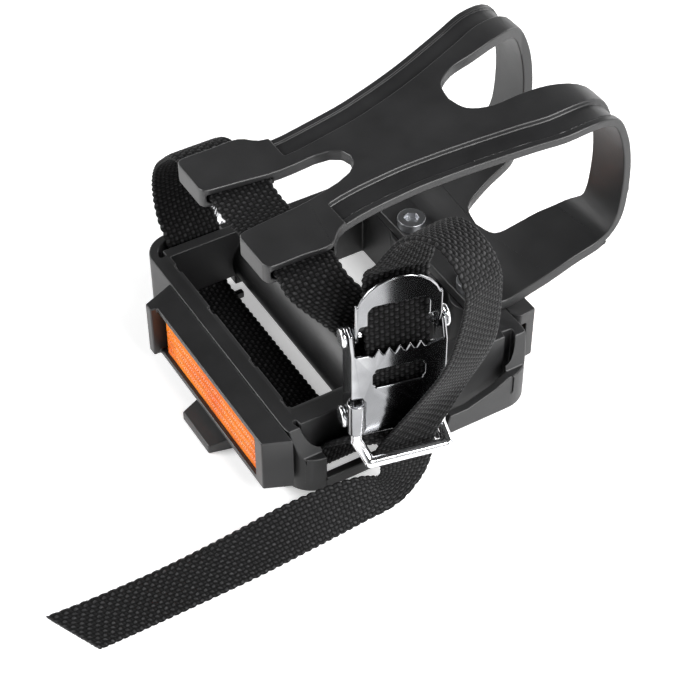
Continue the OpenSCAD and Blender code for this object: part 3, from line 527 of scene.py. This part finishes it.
def rounded_copy(node, finish, width, keep=None, segments=2, from_angle=32, join=None):
    """A copy of a node with rounded edges and even shading."""
    shape = merged_copy(node, join)
    if keep:
        gone = [f for f in shape.faces if not keep(f.calc_center_median())]
        bmesh.ops.delete(shape, geom=gone, context="FACES")
    mesh = bpy.data.meshes.new(node)
    shape.to_mesh(mesh)
    shape.free()
    mesh.shade_smooth()
    draft = bpy.data.objects.new(node + "_draft", mesh)
    bpy.context.scene.collection.objects.link(draft)
    edge = draft.modifiers.new("Rounded edges", "BEVEL")
    edge.width = width
    edge.segments = segments
    edge.limit_method = "ANGLE"
    edge.angle_limit = math.radians(from_angle)
    edge.use_clamp_overlap = False
    edge.miter_outer = "MITER_ARC"
    even = draft.modifiers.new("Even shading", "WEIGHTED_NORMAL")
    even.keep_sharp = True
    return baked(draft, node + "_looks", finish)


def dress(node, slot, finish, width, **options):
    """Replaces a node with its rounded copy, on the node's own body."""
    made = rounded_copy(node, finish, width, **options)
    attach(made, BODY_OF[node])
    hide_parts(node)
    return made


def paint(node, finish):
    """Gives a node of the frame its finish, with its shape as it is."""
    mesh = frame["nodes"][node].data
    mesh.materials.clear()
    mesh.materials.append(finish_of(finish))


BODY_OF = {
    node: body
    for body, nodes in frame["record"]["behaviour"]["bodies"].items()
    for node in nodes
}


def unit(vectors):
    return vectors / np.linalg.norm(vectors, axis=-1, keepdims=True)


def smooth_line(points, steps):
    """A smooth curve through the points, with the same steps between each two."""
    points = np.array(points, dtype=float)
    ends = np.vstack([points[:1], points, points[-1:]])
    t = np.arange(steps)[:, None] / steps
    parts = []
    for i in range(len(points) - 1):
        a, b, c, d = ends[i:i + 4]
        parts.append(0.5 * (2 * b + (c - a) * t + (2 * a - 5 * b + 4 * c - d) * t**2
                            + (3 * b - a - 3 * c + d) * t**3))
    return np.vstack([*parts, points[-1:]])


def strap_rows():
    """Places of the strap's two edges, in millimetres, from sewn end to cut end."""
    half = 500 * sizes().strap_width
    turn = math.radians(13)
    lean, along = math.sin(turn), math.cos(turn)
    pin, pin_y, low = 109.5, -12.2, 20.0
    slot, tunnel, tunnel_z = -22.0, -25.6, 59.2
    guard, channel = 12.5, 99.2
    bottom = BODY_LOW.z / MM
    floor = bottom + 500 * sizes().strap_thickness + 0.02
    edge = bottom + 0.4

    def pair(x, y, z):
        return ((x, y - half, z), (x, y + half, z))

    def turned(dx, z, dy=0.0):
        x = pin + dx * along + dy * lean
        y = pin_y - dx * lean + dy * along
        return ((x - half * lean, y - half * along, z), (x + half * lean, y + half * along, z))

    def beside(a, b):
        return ((pin + a[0], *a[1:]), (pin + b[0], *b[1:]))

    behind_plate = [turned(0.4, low - 2.9), turned(-1.7, low - 2.1), turned(-2.5, low + 0.4),
                    turned(-3.1, low + 9), turned(-3.8, low + 17, -0.8)]
    over_arms = [beside((-7.3, -25.8, 46.6), (-4.1, -8.2, 46.6)), pair(96, tunnel, tunnel_z - 2),
                 pair(87, tunnel, tunnel_z), pair(72, tunnel, tunnel_z),
                 pair(61.5, tunnel, tunnel_z - 1.4), pair(51, tunnel, tunnel_z),
                 pair(36, tunnel, tunnel_z), pair(28, tunnel - 0.2, tunnel_z - 2.2)]
    crank_side = [pair(18.8, -24.4, 49), pair(11.6, -23.4, 41.4), pair(6.8, -22.6, 32.6),
                  pair(5.3, slot, 24), pair(7.2, slot, 17.7), pair(guard - 2, slot, 14.4),
                  pair(guard + 0.1, slot, 11.3), pair(guard + 0.4, slot, 5),
                  pair(guard + 0.3, slot, -1)]
    under_body = [pair(guard + 0.5, slot, -6), pair(guard + 4.5, slot, -8.6),
                  pair(26.4, slot, -9.1), pair(40, slot, -9.2), pair(60, slot, -9.4),
                  pair(78, slot, -9.2), pair(91, slot, -8.4), pair(96.4, slot, -7.2),
                  pair(channel - 0.1, slot, -3)]
    into_buckle = [beside((-10.3, -28.9, 2.6), (-8.2, -12.8, 3)),
                   beside((-7.1, -28, 6.4), (-4.5, -10.6, 6.4)),
                   beside((-3.9, -24.4, 8.6), (-0.3, -6.8, 8.6)),
                   turned(2.2, 9.8), turned(3.1, 14), turned(3.1, 22), turned(3.1, 34),
                   turned(3.1, 44), turned(2.35, 50.5), turned(1.3, 58), turned(1, 69)]
    loop = [beside((4.1, -21.2, 76), (4.3, -3.6, 73)), beside((11.9, -18.8, 89), (6.5, -3.4, 84)),
            beside((22.5, -17.6, 96), (14.7, -2.4, 91)),
            beside((29.9, -16.6, 95), (22.1, -1.2, 90)),
            beside((34.1, -15.6, 90), (26.5, -0.2, 85.6)),
            beside((34.1, -14.8, 82.6), (27.1, 0.8, 79)),
            beside((29.5, -14.4, 65), (24.9, 2.4, 62.4)),
            beside((24.5, -14.6, 52), (21.1, 2.8, 50.6)),
            beside((15.1, -15, 34), (14.7, 2.2, 35.6))]
    through_bail = [beside((8.1, -17, 20), (12.9, -1.4, 25.6)),
                    beside((5.3, -20.6, 11.4), (11.2, -4.8, 16.5)),
                    beside((5.9, -19.6, 5.2), (9.3, -4.8, 5.4)),
                    beside((5.5, -19.2, 2), (8.5, -6.9, -2.6)),
                    beside((5.1, -19.8, 1), (7.7, -11.6, bottom + 3)),
                    beside((4.7, -20.8, 1.4), (7.5, -17, edge)),
                    beside((3.9, -25, 2.6), (7.9, -24, edge)),
                    beside((2.1, -33, 2), (8.5, -31.6, edge))]
    tail = [beside((-0.1, -46, bottom + 11.9), (9.5, -43.6, floor)),
            beside((-3.5, -61, bottom + 5.5), (10.3, -59, floor)),
            beside((-5.7, -80, bottom + 1.1), (10.5, -79, floor)),
            beside((-6.1, -98.4, floor), (10.5, -94.6, floor)),
            beside((-6.9, -114, floor), (10.3, -105.8, floor))]
    return (behind_plate + over_arms + crank_side + under_body + into_buckle + loop
            + through_bail + tail)


def evenly(line_a, line_b, gap):
    """The two edges again, with rows one gap apart along their middle."""
    middle = (line_a + line_b) / 2
    far = np.concatenate([[0], np.cumsum(np.linalg.norm(np.diff(middle, axis=0), axis=1))])
    want = np.arange(0, far[-1], gap)

    def again(line):
        return np.column_stack([np.interp(want, far, line[:, k]) for k in range(3)])

    return again(line_a), again(line_b), want


def weave_height(across, along, width, pick):
    """Height of a plain weave, from 0 to 1: rounded yarns that pass over and under."""
    warp = np.abs(np.sin(np.pi * across / width))
    weft = np.abs(np.sin(np.pi * along / pick))
    side = np.where((np.floor(across / width) + np.floor(along / pick)) % 2 == 0, 1.0, 0.0)
    top = side * warp * (0.45 + 0.55 * weft) + (1 - side) * weft * (0.3 + 0.5 * warp)
    return top


def strap_mesh():
    """The webbing as a closed band of raised yarns, with a UV map in yarn widths."""
    rows = np.array(strap_rows()) * MM
    pick = sizes().pick_pitch
    edge_a, edge_b, far = evenly(smooth_line(rows[:, 0], 14), smooth_line(rows[:, 1], 14), pick / 2)
    middle = (edge_a + edge_b) / 2
    side = unit(edge_b - edge_a)
    half_width = np.linalg.norm(edge_b - edge_a, axis=1)[:, None] / 2
    ahead = unit(np.gradient(middle, axis=0))
    up = unit(np.cross(ahead, side))
    u = np.linspace(-1, 1, 3 * sizes().yarn_count + 1)
    yarn = sizes().strap_width / sizes().yarn_count
    relief = sizes().yarn_relief
    core = sizes().strap_thickness / 2 - relief * 0.62
    scallop = 0.4 * MM * (1 - np.abs(np.sin(np.pi * far / (2 * pick))))[:, None]
    across = (u[None, :] + 1) * sizes().strap_width / 2
    along = far[:, None] + 0 * across
    taper = np.sqrt(np.clip(1 - np.abs(u) ** 9, 0.0, 1))[None, :]
    place = middle[:, None, :] + side[:, None, :] * (u[None, :] * (half_width - scallop))[..., None]
    top = (core + relief * weave_height(across, along, yarn, pick)) * taper
    under = (core + relief * weave_height(across + yarn, along, yarn, pick)) * taper
    upper = place + up[:, None, :] * top[..., None]
    lower = place - up[:, None, :] * under[..., None]
    ring = np.concatenate([upper, lower[:, -2:0:-1]], axis=1)
    count = ring.shape[1]
    points = ring.reshape(-1, 3)
    row, col = np.meshgrid(np.arange(len(far) - 1), np.arange(count), indexing="ij")
    nxt = (col + 1) % count
    quads = np.stack([row * count + col, row * count + nxt,
                      (row + 1) * count + nxt, (row + 1) * count + col], axis=-1).reshape(-1, 4)
    faces = [tuple(q) for q in quads.tolist()]
    faces.append(tuple(range(count - 1, -1, -1)))
    faces.append(tuple(range(len(points) - count, len(points))))
    mesh = bpy.data.meshes.new("toe_strap_looks")
    mesh.from_pydata(points.tolist(), [], faces)
    wide = np.concatenate([across[0], across[0][-2:0:-1] + yarn]) / yarn
    layer = mesh.uv_layers.new(name="Webbing")
    corner = np.empty(len(mesh.loops), dtype=np.int32)
    mesh.loops.foreach_get("vertex_index", corner)
    uv = np.column_stack([wide[corner % count], far[corner // count] / pick])
    layer.data.foreach_set("uv", uv.ravel())
    mesh.shade_smooth()
    shape = bmesh.new()
    shape.from_mesh(mesh)
    if shape.calc_volume(signed=True) < 0:
        bmesh.ops.reverse_faces(shape, faces=shape.faces)
    shape.to_mesh(mesh)
    shape.free()
    mesh.update()
    return mesh, float(far[-1])


# Geometry Nodes for what repeats

def tree_socket(tree, label, kind, value=None):
    socket = tree.interface.new_socket(label, in_out="INPUT", socket_type=kind)
    if value is not None:
        socket.default_value = value
    return socket.identifier


def prism_tree():
    """Rows of three-sided prisms on a plate, each second row turned half round."""
    tree = bpy.data.node_groups.new("Prism field", "GeometryNodeTree")
    names = {
        "Width": tree_socket(tree, "Width", "NodeSocketFloat"),
        "Height": tree_socket(tree, "Height", "NodeSocketFloat"),
        "Pitch": tree_socket(tree, "Pitch", "NodeSocketFloat"),
        "Relief": tree_socket(tree, "Relief", "NodeSocketFloat"),
        "Finish": tree_socket(tree, "Finish", "NodeSocketMaterial"),
    }
    tree.interface.new_socket("Geometry", in_out="OUTPUT", socket_type="NodeSocketGeometry")
    start = tree.nodes.new("NodeGroupInput")
    end = tree.nodes.new("NodeGroupOutput")

    def whole_steps(length, step):
        count = math_node(tree, "ADD", math_node(tree, "DIVIDE", length, step), 0.5)
        whole = tree.nodes.new("FunctionNodeFloatToInt")
        whole.rounding_mode = "FLOOR"
        tree.links.new(count, whole.inputs[0])
        return whole.outputs[0]

    width, height = start.outputs["Width"], start.outputs["Height"]
    pitch, relief = start.outputs["Pitch"], start.outputs["Relief"]
    grid = tree.nodes.new("GeometryNodeMeshGrid")
    across = math_node(tree, "MULTIPLY", pitch, 0.5)
    rise = math_node(tree, "MULTIPLY", pitch, 0.87)
    tree.links.new(math_node(tree, "SUBTRACT", width, pitch), grid.inputs["Size X"])
    tree.links.new(math_node(tree, "SUBTRACT", height, pitch), grid.inputs["Size Y"])
    tree.links.new(whole_steps(width, across), grid.inputs["Vertices X"])
    tree.links.new(whole_steps(height, rise), grid.inputs["Vertices Y"])
    prism = tree.nodes.new("GeometryNodeMeshCone")
    prism.fill_type = "NONE"
    prism.inputs["Vertices"].default_value = 3
    prism.inputs["Radius Top"].default_value = 0
    tree.links.new(math_node(tree, "MULTIPLY", pitch, 0.55), prism.inputs["Radius Bottom"])
    tree.links.new(relief, prism.inputs["Depth"])
    number = tree.nodes.new("GeometryNodeInputIndex")
    odd = math_node(tree, "MODULO", number.outputs[0], 2)
    turn = tree.nodes.new("ShaderNodeCombineXYZ")
    tree.links.new(math_node(tree, "MULTIPLY", odd, math.pi), turn.inputs["Z"])
    many = tree.nodes.new("GeometryNodeInstanceOnPoints")
    tree.links.new(grid.outputs["Mesh"], many.inputs["Points"])
    tree.links.new(prism.outputs["Mesh"], many.inputs["Instance"])
    tree.links.new(turn.outputs[0], many.inputs["Rotation"])
    real = tree.nodes.new("GeometryNodeRealizeInstances")
    tree.links.new(many.outputs[0], real.inputs[0])
    finish = tree.nodes.new("GeometryNodeSetMaterial")
    tree.links.new(real.outputs[0], finish.inputs["Geometry"])
    tree.links.new(start.outputs["Finish"], finish.inputs["Material"])
    tree.links.new(finish.outputs[0], end.inputs[0])
    return tree, names


def prisms_on(name, width, height, place):
    """A field of prisms of that size, moved to its place in the mesh."""
    tree, names = prism_tree()
    draft = bpy.data.objects.new(name + "_draft", bpy.data.meshes.new(name))
    bpy.context.scene.collection.objects.link(draft)
    grown = draft.modifiers.new("Prism field", "NODES")
    grown.node_group = tree
    grown[names["Width"]] = width
    grown[names["Height"]] = height
    grown[names["Pitch"]] = sizes().prism_pitch
    grown[names["Relief"]] = sizes().prism_height
    grown[names["Finish"]] = finish_of("Amber lens")
    made = baked(draft, name, "Amber lens")
    made.data.transform(place)
    return made


class PEDAL_OT_body(bpy.types.Operator):
    """Give the moulded body and its dust cap rounded edges and grained resin"""

    bl_idname = "pedal.body"
    bl_label = "Body and dust cap"

    def execute(self, context):
        dress("pedal_body", "body_resin", "Body resin", sizes().moulded_edge)
        dress("dust_cap", "cap_resin", "Cap resin", sizes().moulded_edge)
        return {"FINISHED"}


class PEDAL_OT_reflectors(bpy.types.Operator):
    """Dress both reflector housings, and grow prisms on their amber lenses"""

    bl_idname = "pedal.reflectors"
    bl_label = "Reflectors"

    def execute(self, context):
        for end in ("rear", "front"):
            dress(end + "_reflector_housing", "housing_resin", "Housing resin",
                  sizes().moulded_edge)
            lens = end + "_reflector_lens"
            dress(lens, "amber_lens", "Amber lens", sizes().lens_edge)
            low, high = (Vector(corner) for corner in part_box(lens))
            out = -1 if end == "rear" else 1
            face = low.y if end == "rear" else high.y
            middle = Vector(((low.x + high.x) / 2, face, (low.z + high.z) / 2))
            turn = Matrix.Rotation(math.radians(-90 * out), 4, "X")
            margin = 2 * sizes().prism_margin
            field = prisms_on(end + "_lens_prisms", high.x - low.x - margin,
                              high.z - low.z - margin, Matrix.Translation(middle) @ turn)
            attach(field, "pedal")
        return {"FINISHED"}


class PEDAL_OT_toe_clip(bpy.types.Operator):
    """Dress the toe clip with smooth resin and soft edges"""

    bl_idname = "pedal.toe_clip"
    bl_label = "Toe clip"

    def execute(self, context):
        low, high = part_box("toe_clip")
        dress("toe_clip", "clip_resin", "Clip resin", sizes().clip_edge,
              join=(low[2] + high[2]) / 2)
        return {"FINISHED"}


class PEDAL_OT_bolts(bpy.types.Operator):
    """Dress the toe clip's bolts, washers and nuts"""

    bl_idname = "pedal.bolts"
    bl_label = "Bolts, washers and nuts"

    def execute(self, context):
        for node in ("clip_bolts", "clip_washers", "clip_nuts"):
            dress(node, "plated_steel", "Plated steel", sizes().turned_edge)
        return {"FINISHED"}


def thread_mesh():
    """The spindle's thread as a turned surface whose radius follows a helix."""
    length = -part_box("spindle")[0][0]
    radius = sizes().thread_radius
    pitch, depth = sizes().thread_pitch, sizes().thread_depth
    steps_per_turn, around, lead_in = 8, 72, 0.9 * MM
    rows = int(length / (pitch / steps_per_turn)) + 1
    x = np.linspace(-length, 0, rows)
    angle = np.linspace(0, 2 * np.pi, around, endpoint=False)
    turn = (x[:, None] / pitch - angle[None, :] / (2 * np.pi)) % 1
    flank = np.clip(np.abs(turn - 0.5) * 2.4 - 0.1, 0, 1)
    runout = np.clip(-x / (1.6 * pitch), 0, 1)[:, None]
    r = radius - depth * flank * runout
    start = np.clip((x + length) / lead_in, 0, 1)[:, None]
    r = r - (1 - start) * 0.8 * MM
    r[-1] = radius
    ring = np.stack([np.broadcast_to(x[:, None], r.shape), r * np.cos(angle), r * np.sin(angle)], -1)
    points = ring.reshape(-1, 3).tolist()
    faces = []
    for i in range(rows - 1):
        for j in range(around):
            k = (j + 1) % around
            faces.append((i * around + j, (i + 1) * around + j, (i + 1) * around + k, i * around + k))
    faces.append(tuple(range(around)))
    mesh = bpy.data.meshes.new("spindle_thread")
    mesh.from_pydata(points, [], faces)
    shape = bmesh.new()
    shape.from_mesh(mesh)
    bmesh.ops.recalc_face_normals(shape, faces=shape.faces)
    outer = max(shape.faces, key=lambda f: f.calc_center_median().yz.length)
    middle = outer.calc_center_median()
    if outer.normal.dot(Vector((0, middle.y, middle.z))) < 0:
        bmesh.ops.reverse_faces(shape, faces=shape.faces)
    for f in shape.faces:
        f.smooth = len(f.verts) == 4
    shape.to_mesh(mesh)
    shape.free()
    return mesh


class PEDAL_OT_spindle(bpy.types.Operator):
    """Turn the spindle's thread, and dress the spindle and its dust seal"""

    bl_idname = "pedal.spindle"
    bl_label = "Spindle"

    def execute(self, context):
        shaft = rounded_copy("spindle", "Turned steel", 0.15 * MM,
                             keep=lambda middle: middle.x > -0.01 * MM)
        thread = link_object("spindle_thread", thread_mesh(), "Turned steel")
        for piece in (shaft, thread):
            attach(piece, "spindle")
        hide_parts("spindle")
        dress("spindle_seal", "seal_rubber", "Seal rubber", sizes().turned_edge)
        return {"FINISHED"}


class PEDAL_OT_bearings(bpy.types.Operator):
    """Give the bearings' cups, cone, balls, washer and nut their finishes"""

    bl_idname = "pedal.bearings"
    bl_label = "Bearings"

    def execute(self, context):
        for node in ("inner_cup", "outer_cup", "outer_cone"):
            paint(node, "Ground steel")
        for node in ("inner_balls", "outer_balls"):
            paint(node, "Bright chrome")
        for node in ("keyed_washer", "lock_nut"):
            paint(node, "Plated steel")
        return {"FINISHED"}


class PEDAL_OT_strap(bpy.types.Operator):
    """Weave the webbing strap along its way round the clip and body"""

    bl_idname = "pedal.strap"
    bl_label = "Strap"

    def execute(self, context):
        mesh, length = strap_mesh()
        strap = link_object("strap_webbing", mesh, "Webbing")
        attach(strap, "pedal")
        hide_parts("toe_strap")
        return {"FINISHED"}


class PEDAL_OT_buckle(bpy.types.Operator):
    """Dress the buckle's frame, arch, pins and bail in bright chrome"""

    bl_idname = "pedal.buckle"
    bl_label = "Buckle"

    def execute(self, context):
        for node in ("buckle_frame", "buckle_lever"):
            dress(node, "buckle_chrome", "Pressed chrome", sizes().pressed_edge, segments=3)
        for node in ("lever_pin", "strap_pin"):
            dress(node, "buckle_chrome", "Bright chrome", sizes().head_edge, segments=4)
        dress("buckle_bail", "buckle_chrome", "Bright chrome", 0.1 * MM, from_angle=60)
        return {"FINISHED"}


# Stage, with the camera that was fitted to the photograph

CAMERA_AT = (0.40164, -0.19919, 0.37797)
CAMERA_RIGHT = (0.50826527, 0.86119313, -0.0035789)
CAMERA_UP = (-0.59621865, 0.35487337, 0.7201307)
CAMERA_LOOK = (-0.62144166, 0.36388362, -0.69382921)
FOCAL_PIXELS = 1870.23
IMAGE_PIXELS = 680
FILM_WIDTH = 36.0
FLOOR_HALF = 1.6
FLOOR_GAP = 0.02 * MM
LIT_POINT = (0.06, 0.0, 0.02)
# Each lamp's name, place, size in metres and power in watts
LAMPS = (
    ("Outboard softbox", (0.64, 0.2, 0.52), (0.55, 0.35), 9.0),
    ("Rear softbox", (-0.35, -0.7, 0.5), (0.5, 0.4), 7.0),
    ("Toe softbox", (-0.1, 0.8, 0.3), (0.6, 0.25), 2.4),
)


def floor_material():
    """Pale floor with soft shadows that the camera, mirrors and glass see nearly white.

    Its own light, which only they see, grows with the distance from the object, because the
    lamps don't reach that far.
    """
    made = bpy.data.materials.new("Studio floor")
    made.use_nodes = True
    tree = made.node_tree
    tree.nodes.clear()
    paper = tree.nodes.new("ShaderNodeBsdfDiffuse")
    glow = tree.nodes.new("ShaderNodeEmission")
    ray = tree.nodes.new("ShaderNodeLightPath")
    seen = math_node(tree, "MAXIMUM", ray.outputs["Is Camera Ray"], ray.outputs["Is Glossy Ray"])
    seen = math_node(tree, "MAXIMUM", seen, ray.outputs["Is Transmission Ray"])
    shade = mix_colours(tree, seen, rgba(colours().floor_bounce), rgba(colours().floor))
    tree.links.new(shade, paper.inputs["Color"])
    place = tree.nodes.new("ShaderNodeTexCoord")
    far = tree.nodes.new("ShaderNodeVectorMath")
    far.operation = "LENGTH"
    tree.links.new(place.outputs["Object"], far.inputs[0])
    rise = math_node(tree, "MULTIPLY_ADD", far.outputs["Value"], 1.6, -0.56, clamp=True)
    lift = math_node(tree, "MULTIPLY", seen, math_node(tree, "MULTIPLY_ADD", rise, 0.55, 0.42))
    tree.links.new(lift, glow.inputs["Strength"])
    both = tree.nodes.new("ShaderNodeAddShader")
    tree.links.new(paper.outputs[0], both.inputs[0])
    tree.links.new(glow.outputs[0], both.inputs[1])
    end = tree.nodes.new("ShaderNodeOutputMaterial")
    tree.links.new(both.outputs[0], end.inputs["Surface"])
    return made


def studio_world():
    """A light tent: bright round the horizon, dark overhead, and white to the camera."""
    world = bpy.data.worlds.new("Light tent")
    bpy.context.scene.world = world
    world.use_nodes = True
    tree = world.node_tree
    tree.nodes.clear()
    way = tree.nodes.new("ShaderNodeTexCoord")
    parts = tree.nodes.new("ShaderNodeSeparateXYZ")
    tree.links.new(way.outputs["Generated"], parts.inputs[0])
    ramp = tree.nodes.new("ShaderNodeValToRGB")
    tree.links.new(parts.outputs["Z"], ramp.inputs[0])
    stops = ramp.color_ramp.elements
    stops[0].position, stops[0].color = 0.1, (1.0, 1.0, 1.0, 1)
    stops[1].position, stops[1].color = 0.5, (0.06, 0.06, 0.06, 1)
    middle = stops.new(0.28)
    middle.color = (0.55, 0.55, 0.55, 1)
    tent = tree.nodes.new("ShaderNodeBackground")
    tree.links.new(ramp.outputs["Color"], tent.inputs["Color"])
    tent.inputs["Strength"].default_value = 1.0
    plain = tree.nodes.new("ShaderNodeBackground")
    plain.inputs["Color"].default_value = (1, 1, 1, 1)
    ray = tree.nodes.new("ShaderNodeLightPath")
    pick = tree.nodes.new("ShaderNodeMixShader")
    tree.links.new(ray.outputs["Is Camera Ray"], pick.inputs[0])
    tree.links.new(tent.outputs[0], pick.inputs[1])
    tree.links.new(plain.outputs[0], pick.inputs[2])
    end = tree.nodes.new("ShaderNodeOutputWorld")
    tree.links.new(pick.outputs[0], end.inputs["Surface"])


def soft_light(name, place, size, power):
    """A square lamp with soft edges that faces the object's middle."""
    data = bpy.data.lights.new(name, "AREA")
    data.shape = "RECTANGLE"
    data.size, data.size_y = size
    data.energy = power
    made = bpy.data.objects.new(name, data)
    made.location = place
    made.rotation_euler = (Vector(LIT_POINT) - Vector(place)).to_track_quat("-Z", "Y").to_euler()
    bpy.context.scene.collection.objects.link(made)
    return made


class PEDAL_OT_stage(bpy.types.Operator):
    """Set the white floor, the light tent, the soft lamps and the camera"""

    bl_idname = "pedal.stage"
    bl_label = "Stage, light and camera"

    def execute(self, context):
        scene = context.scene
        scene.view_settings.view_transform = "Standard"
        level = BODY_LOW.z - FLOOR_GAP
        mesh = bpy.data.meshes.new("floor")
        corners = [(x * FLOOR_HALF, y * FLOOR_HALF, level)
                   for x, y in ((-1, -1), (1, -1), (1, 1), (-1, 1))]
        mesh.from_pydata(corners, [], [(0, 1, 2, 3)])
        mesh.materials.append(floor_material())
        floor = bpy.data.objects.new("floor", mesh)
        scene.collection.objects.link(floor)
        studio_world()
        for lamp in LAMPS:
            soft_light(*lamp)
        data = bpy.data.cameras.new("Camera")
        data.sensor_fit = "HORIZONTAL"
        data.sensor_width = FILM_WIDTH
        data.lens = FOCAL_PIXELS * FILM_WIDTH / IMAGE_PIXELS
        data.clip_start = 0.01
        camera = bpy.data.objects.new("Camera", data)
        turn = Matrix((CAMERA_RIGHT, CAMERA_UP, [-k for k in CAMERA_LOOK])).transposed()
        camera.matrix_world = Matrix.Translation(CAMERA_AT) @ turn.to_4x4()
        scene.collection.objects.link(camera)
        scene.camera = camera
        return {"FINISHED"}


STEPS = (PEDAL_OT_stage, PEDAL_OT_strap, PEDAL_OT_body, PEDAL_OT_reflectors, PEDAL_OT_toe_clip,
         PEDAL_OT_bolts, PEDAL_OT_spindle, PEDAL_OT_bearings, PEDAL_OT_buckle)


class PEDAL_PT_sidebar(bpy.types.Panel):
    """Lists the pedal's sizes, colours and steps"""

    bl_idname = "PEDAL_PT_sidebar"
    bl_label = "Pedal"
    bl_space_type = "VIEW_3D"
    bl_region_type = "UI"
    bl_category = "Pedal"

    def draw(self, context):
        for step in STEPS:
            self.layout.operator(step.bl_idname)
        for group in (context.scene.pedal_sizes, context.scene.pedal_colours):
            box = self.layout.box()
            for name in group.bl_rna.properties.keys():
                if name not in ("rna_type", "name"):
                    box.prop(group, name)


CLASSES = (PedalSizes, PedalColours, *STEPS, PEDAL_PT_sidebar)


def register():
    for cls in CLASSES:
        bpy.utils.register_class(cls)
    bpy.types.Scene.pedal_sizes = PointerProperty(type=PedalSizes)
    bpy.types.Scene.pedal_colours = PointerProperty(type=PedalColours)


def unregister():
    del bpy.types.Scene.pedal_colours
    del bpy.types.Scene.pedal_sizes
    for cls in reversed(CLASSES):
        bpy.utils.unregister_class(cls)


def plain(corners):
    return [[float(value) for value in corner] for corner in corners]


def main():
    register()
    for step in STEPS:
        part, name = step.bl_idname.split(".")
        getattr(getattr(bpy.ops, part), name)()


if __name__ == "__main__":
    main()
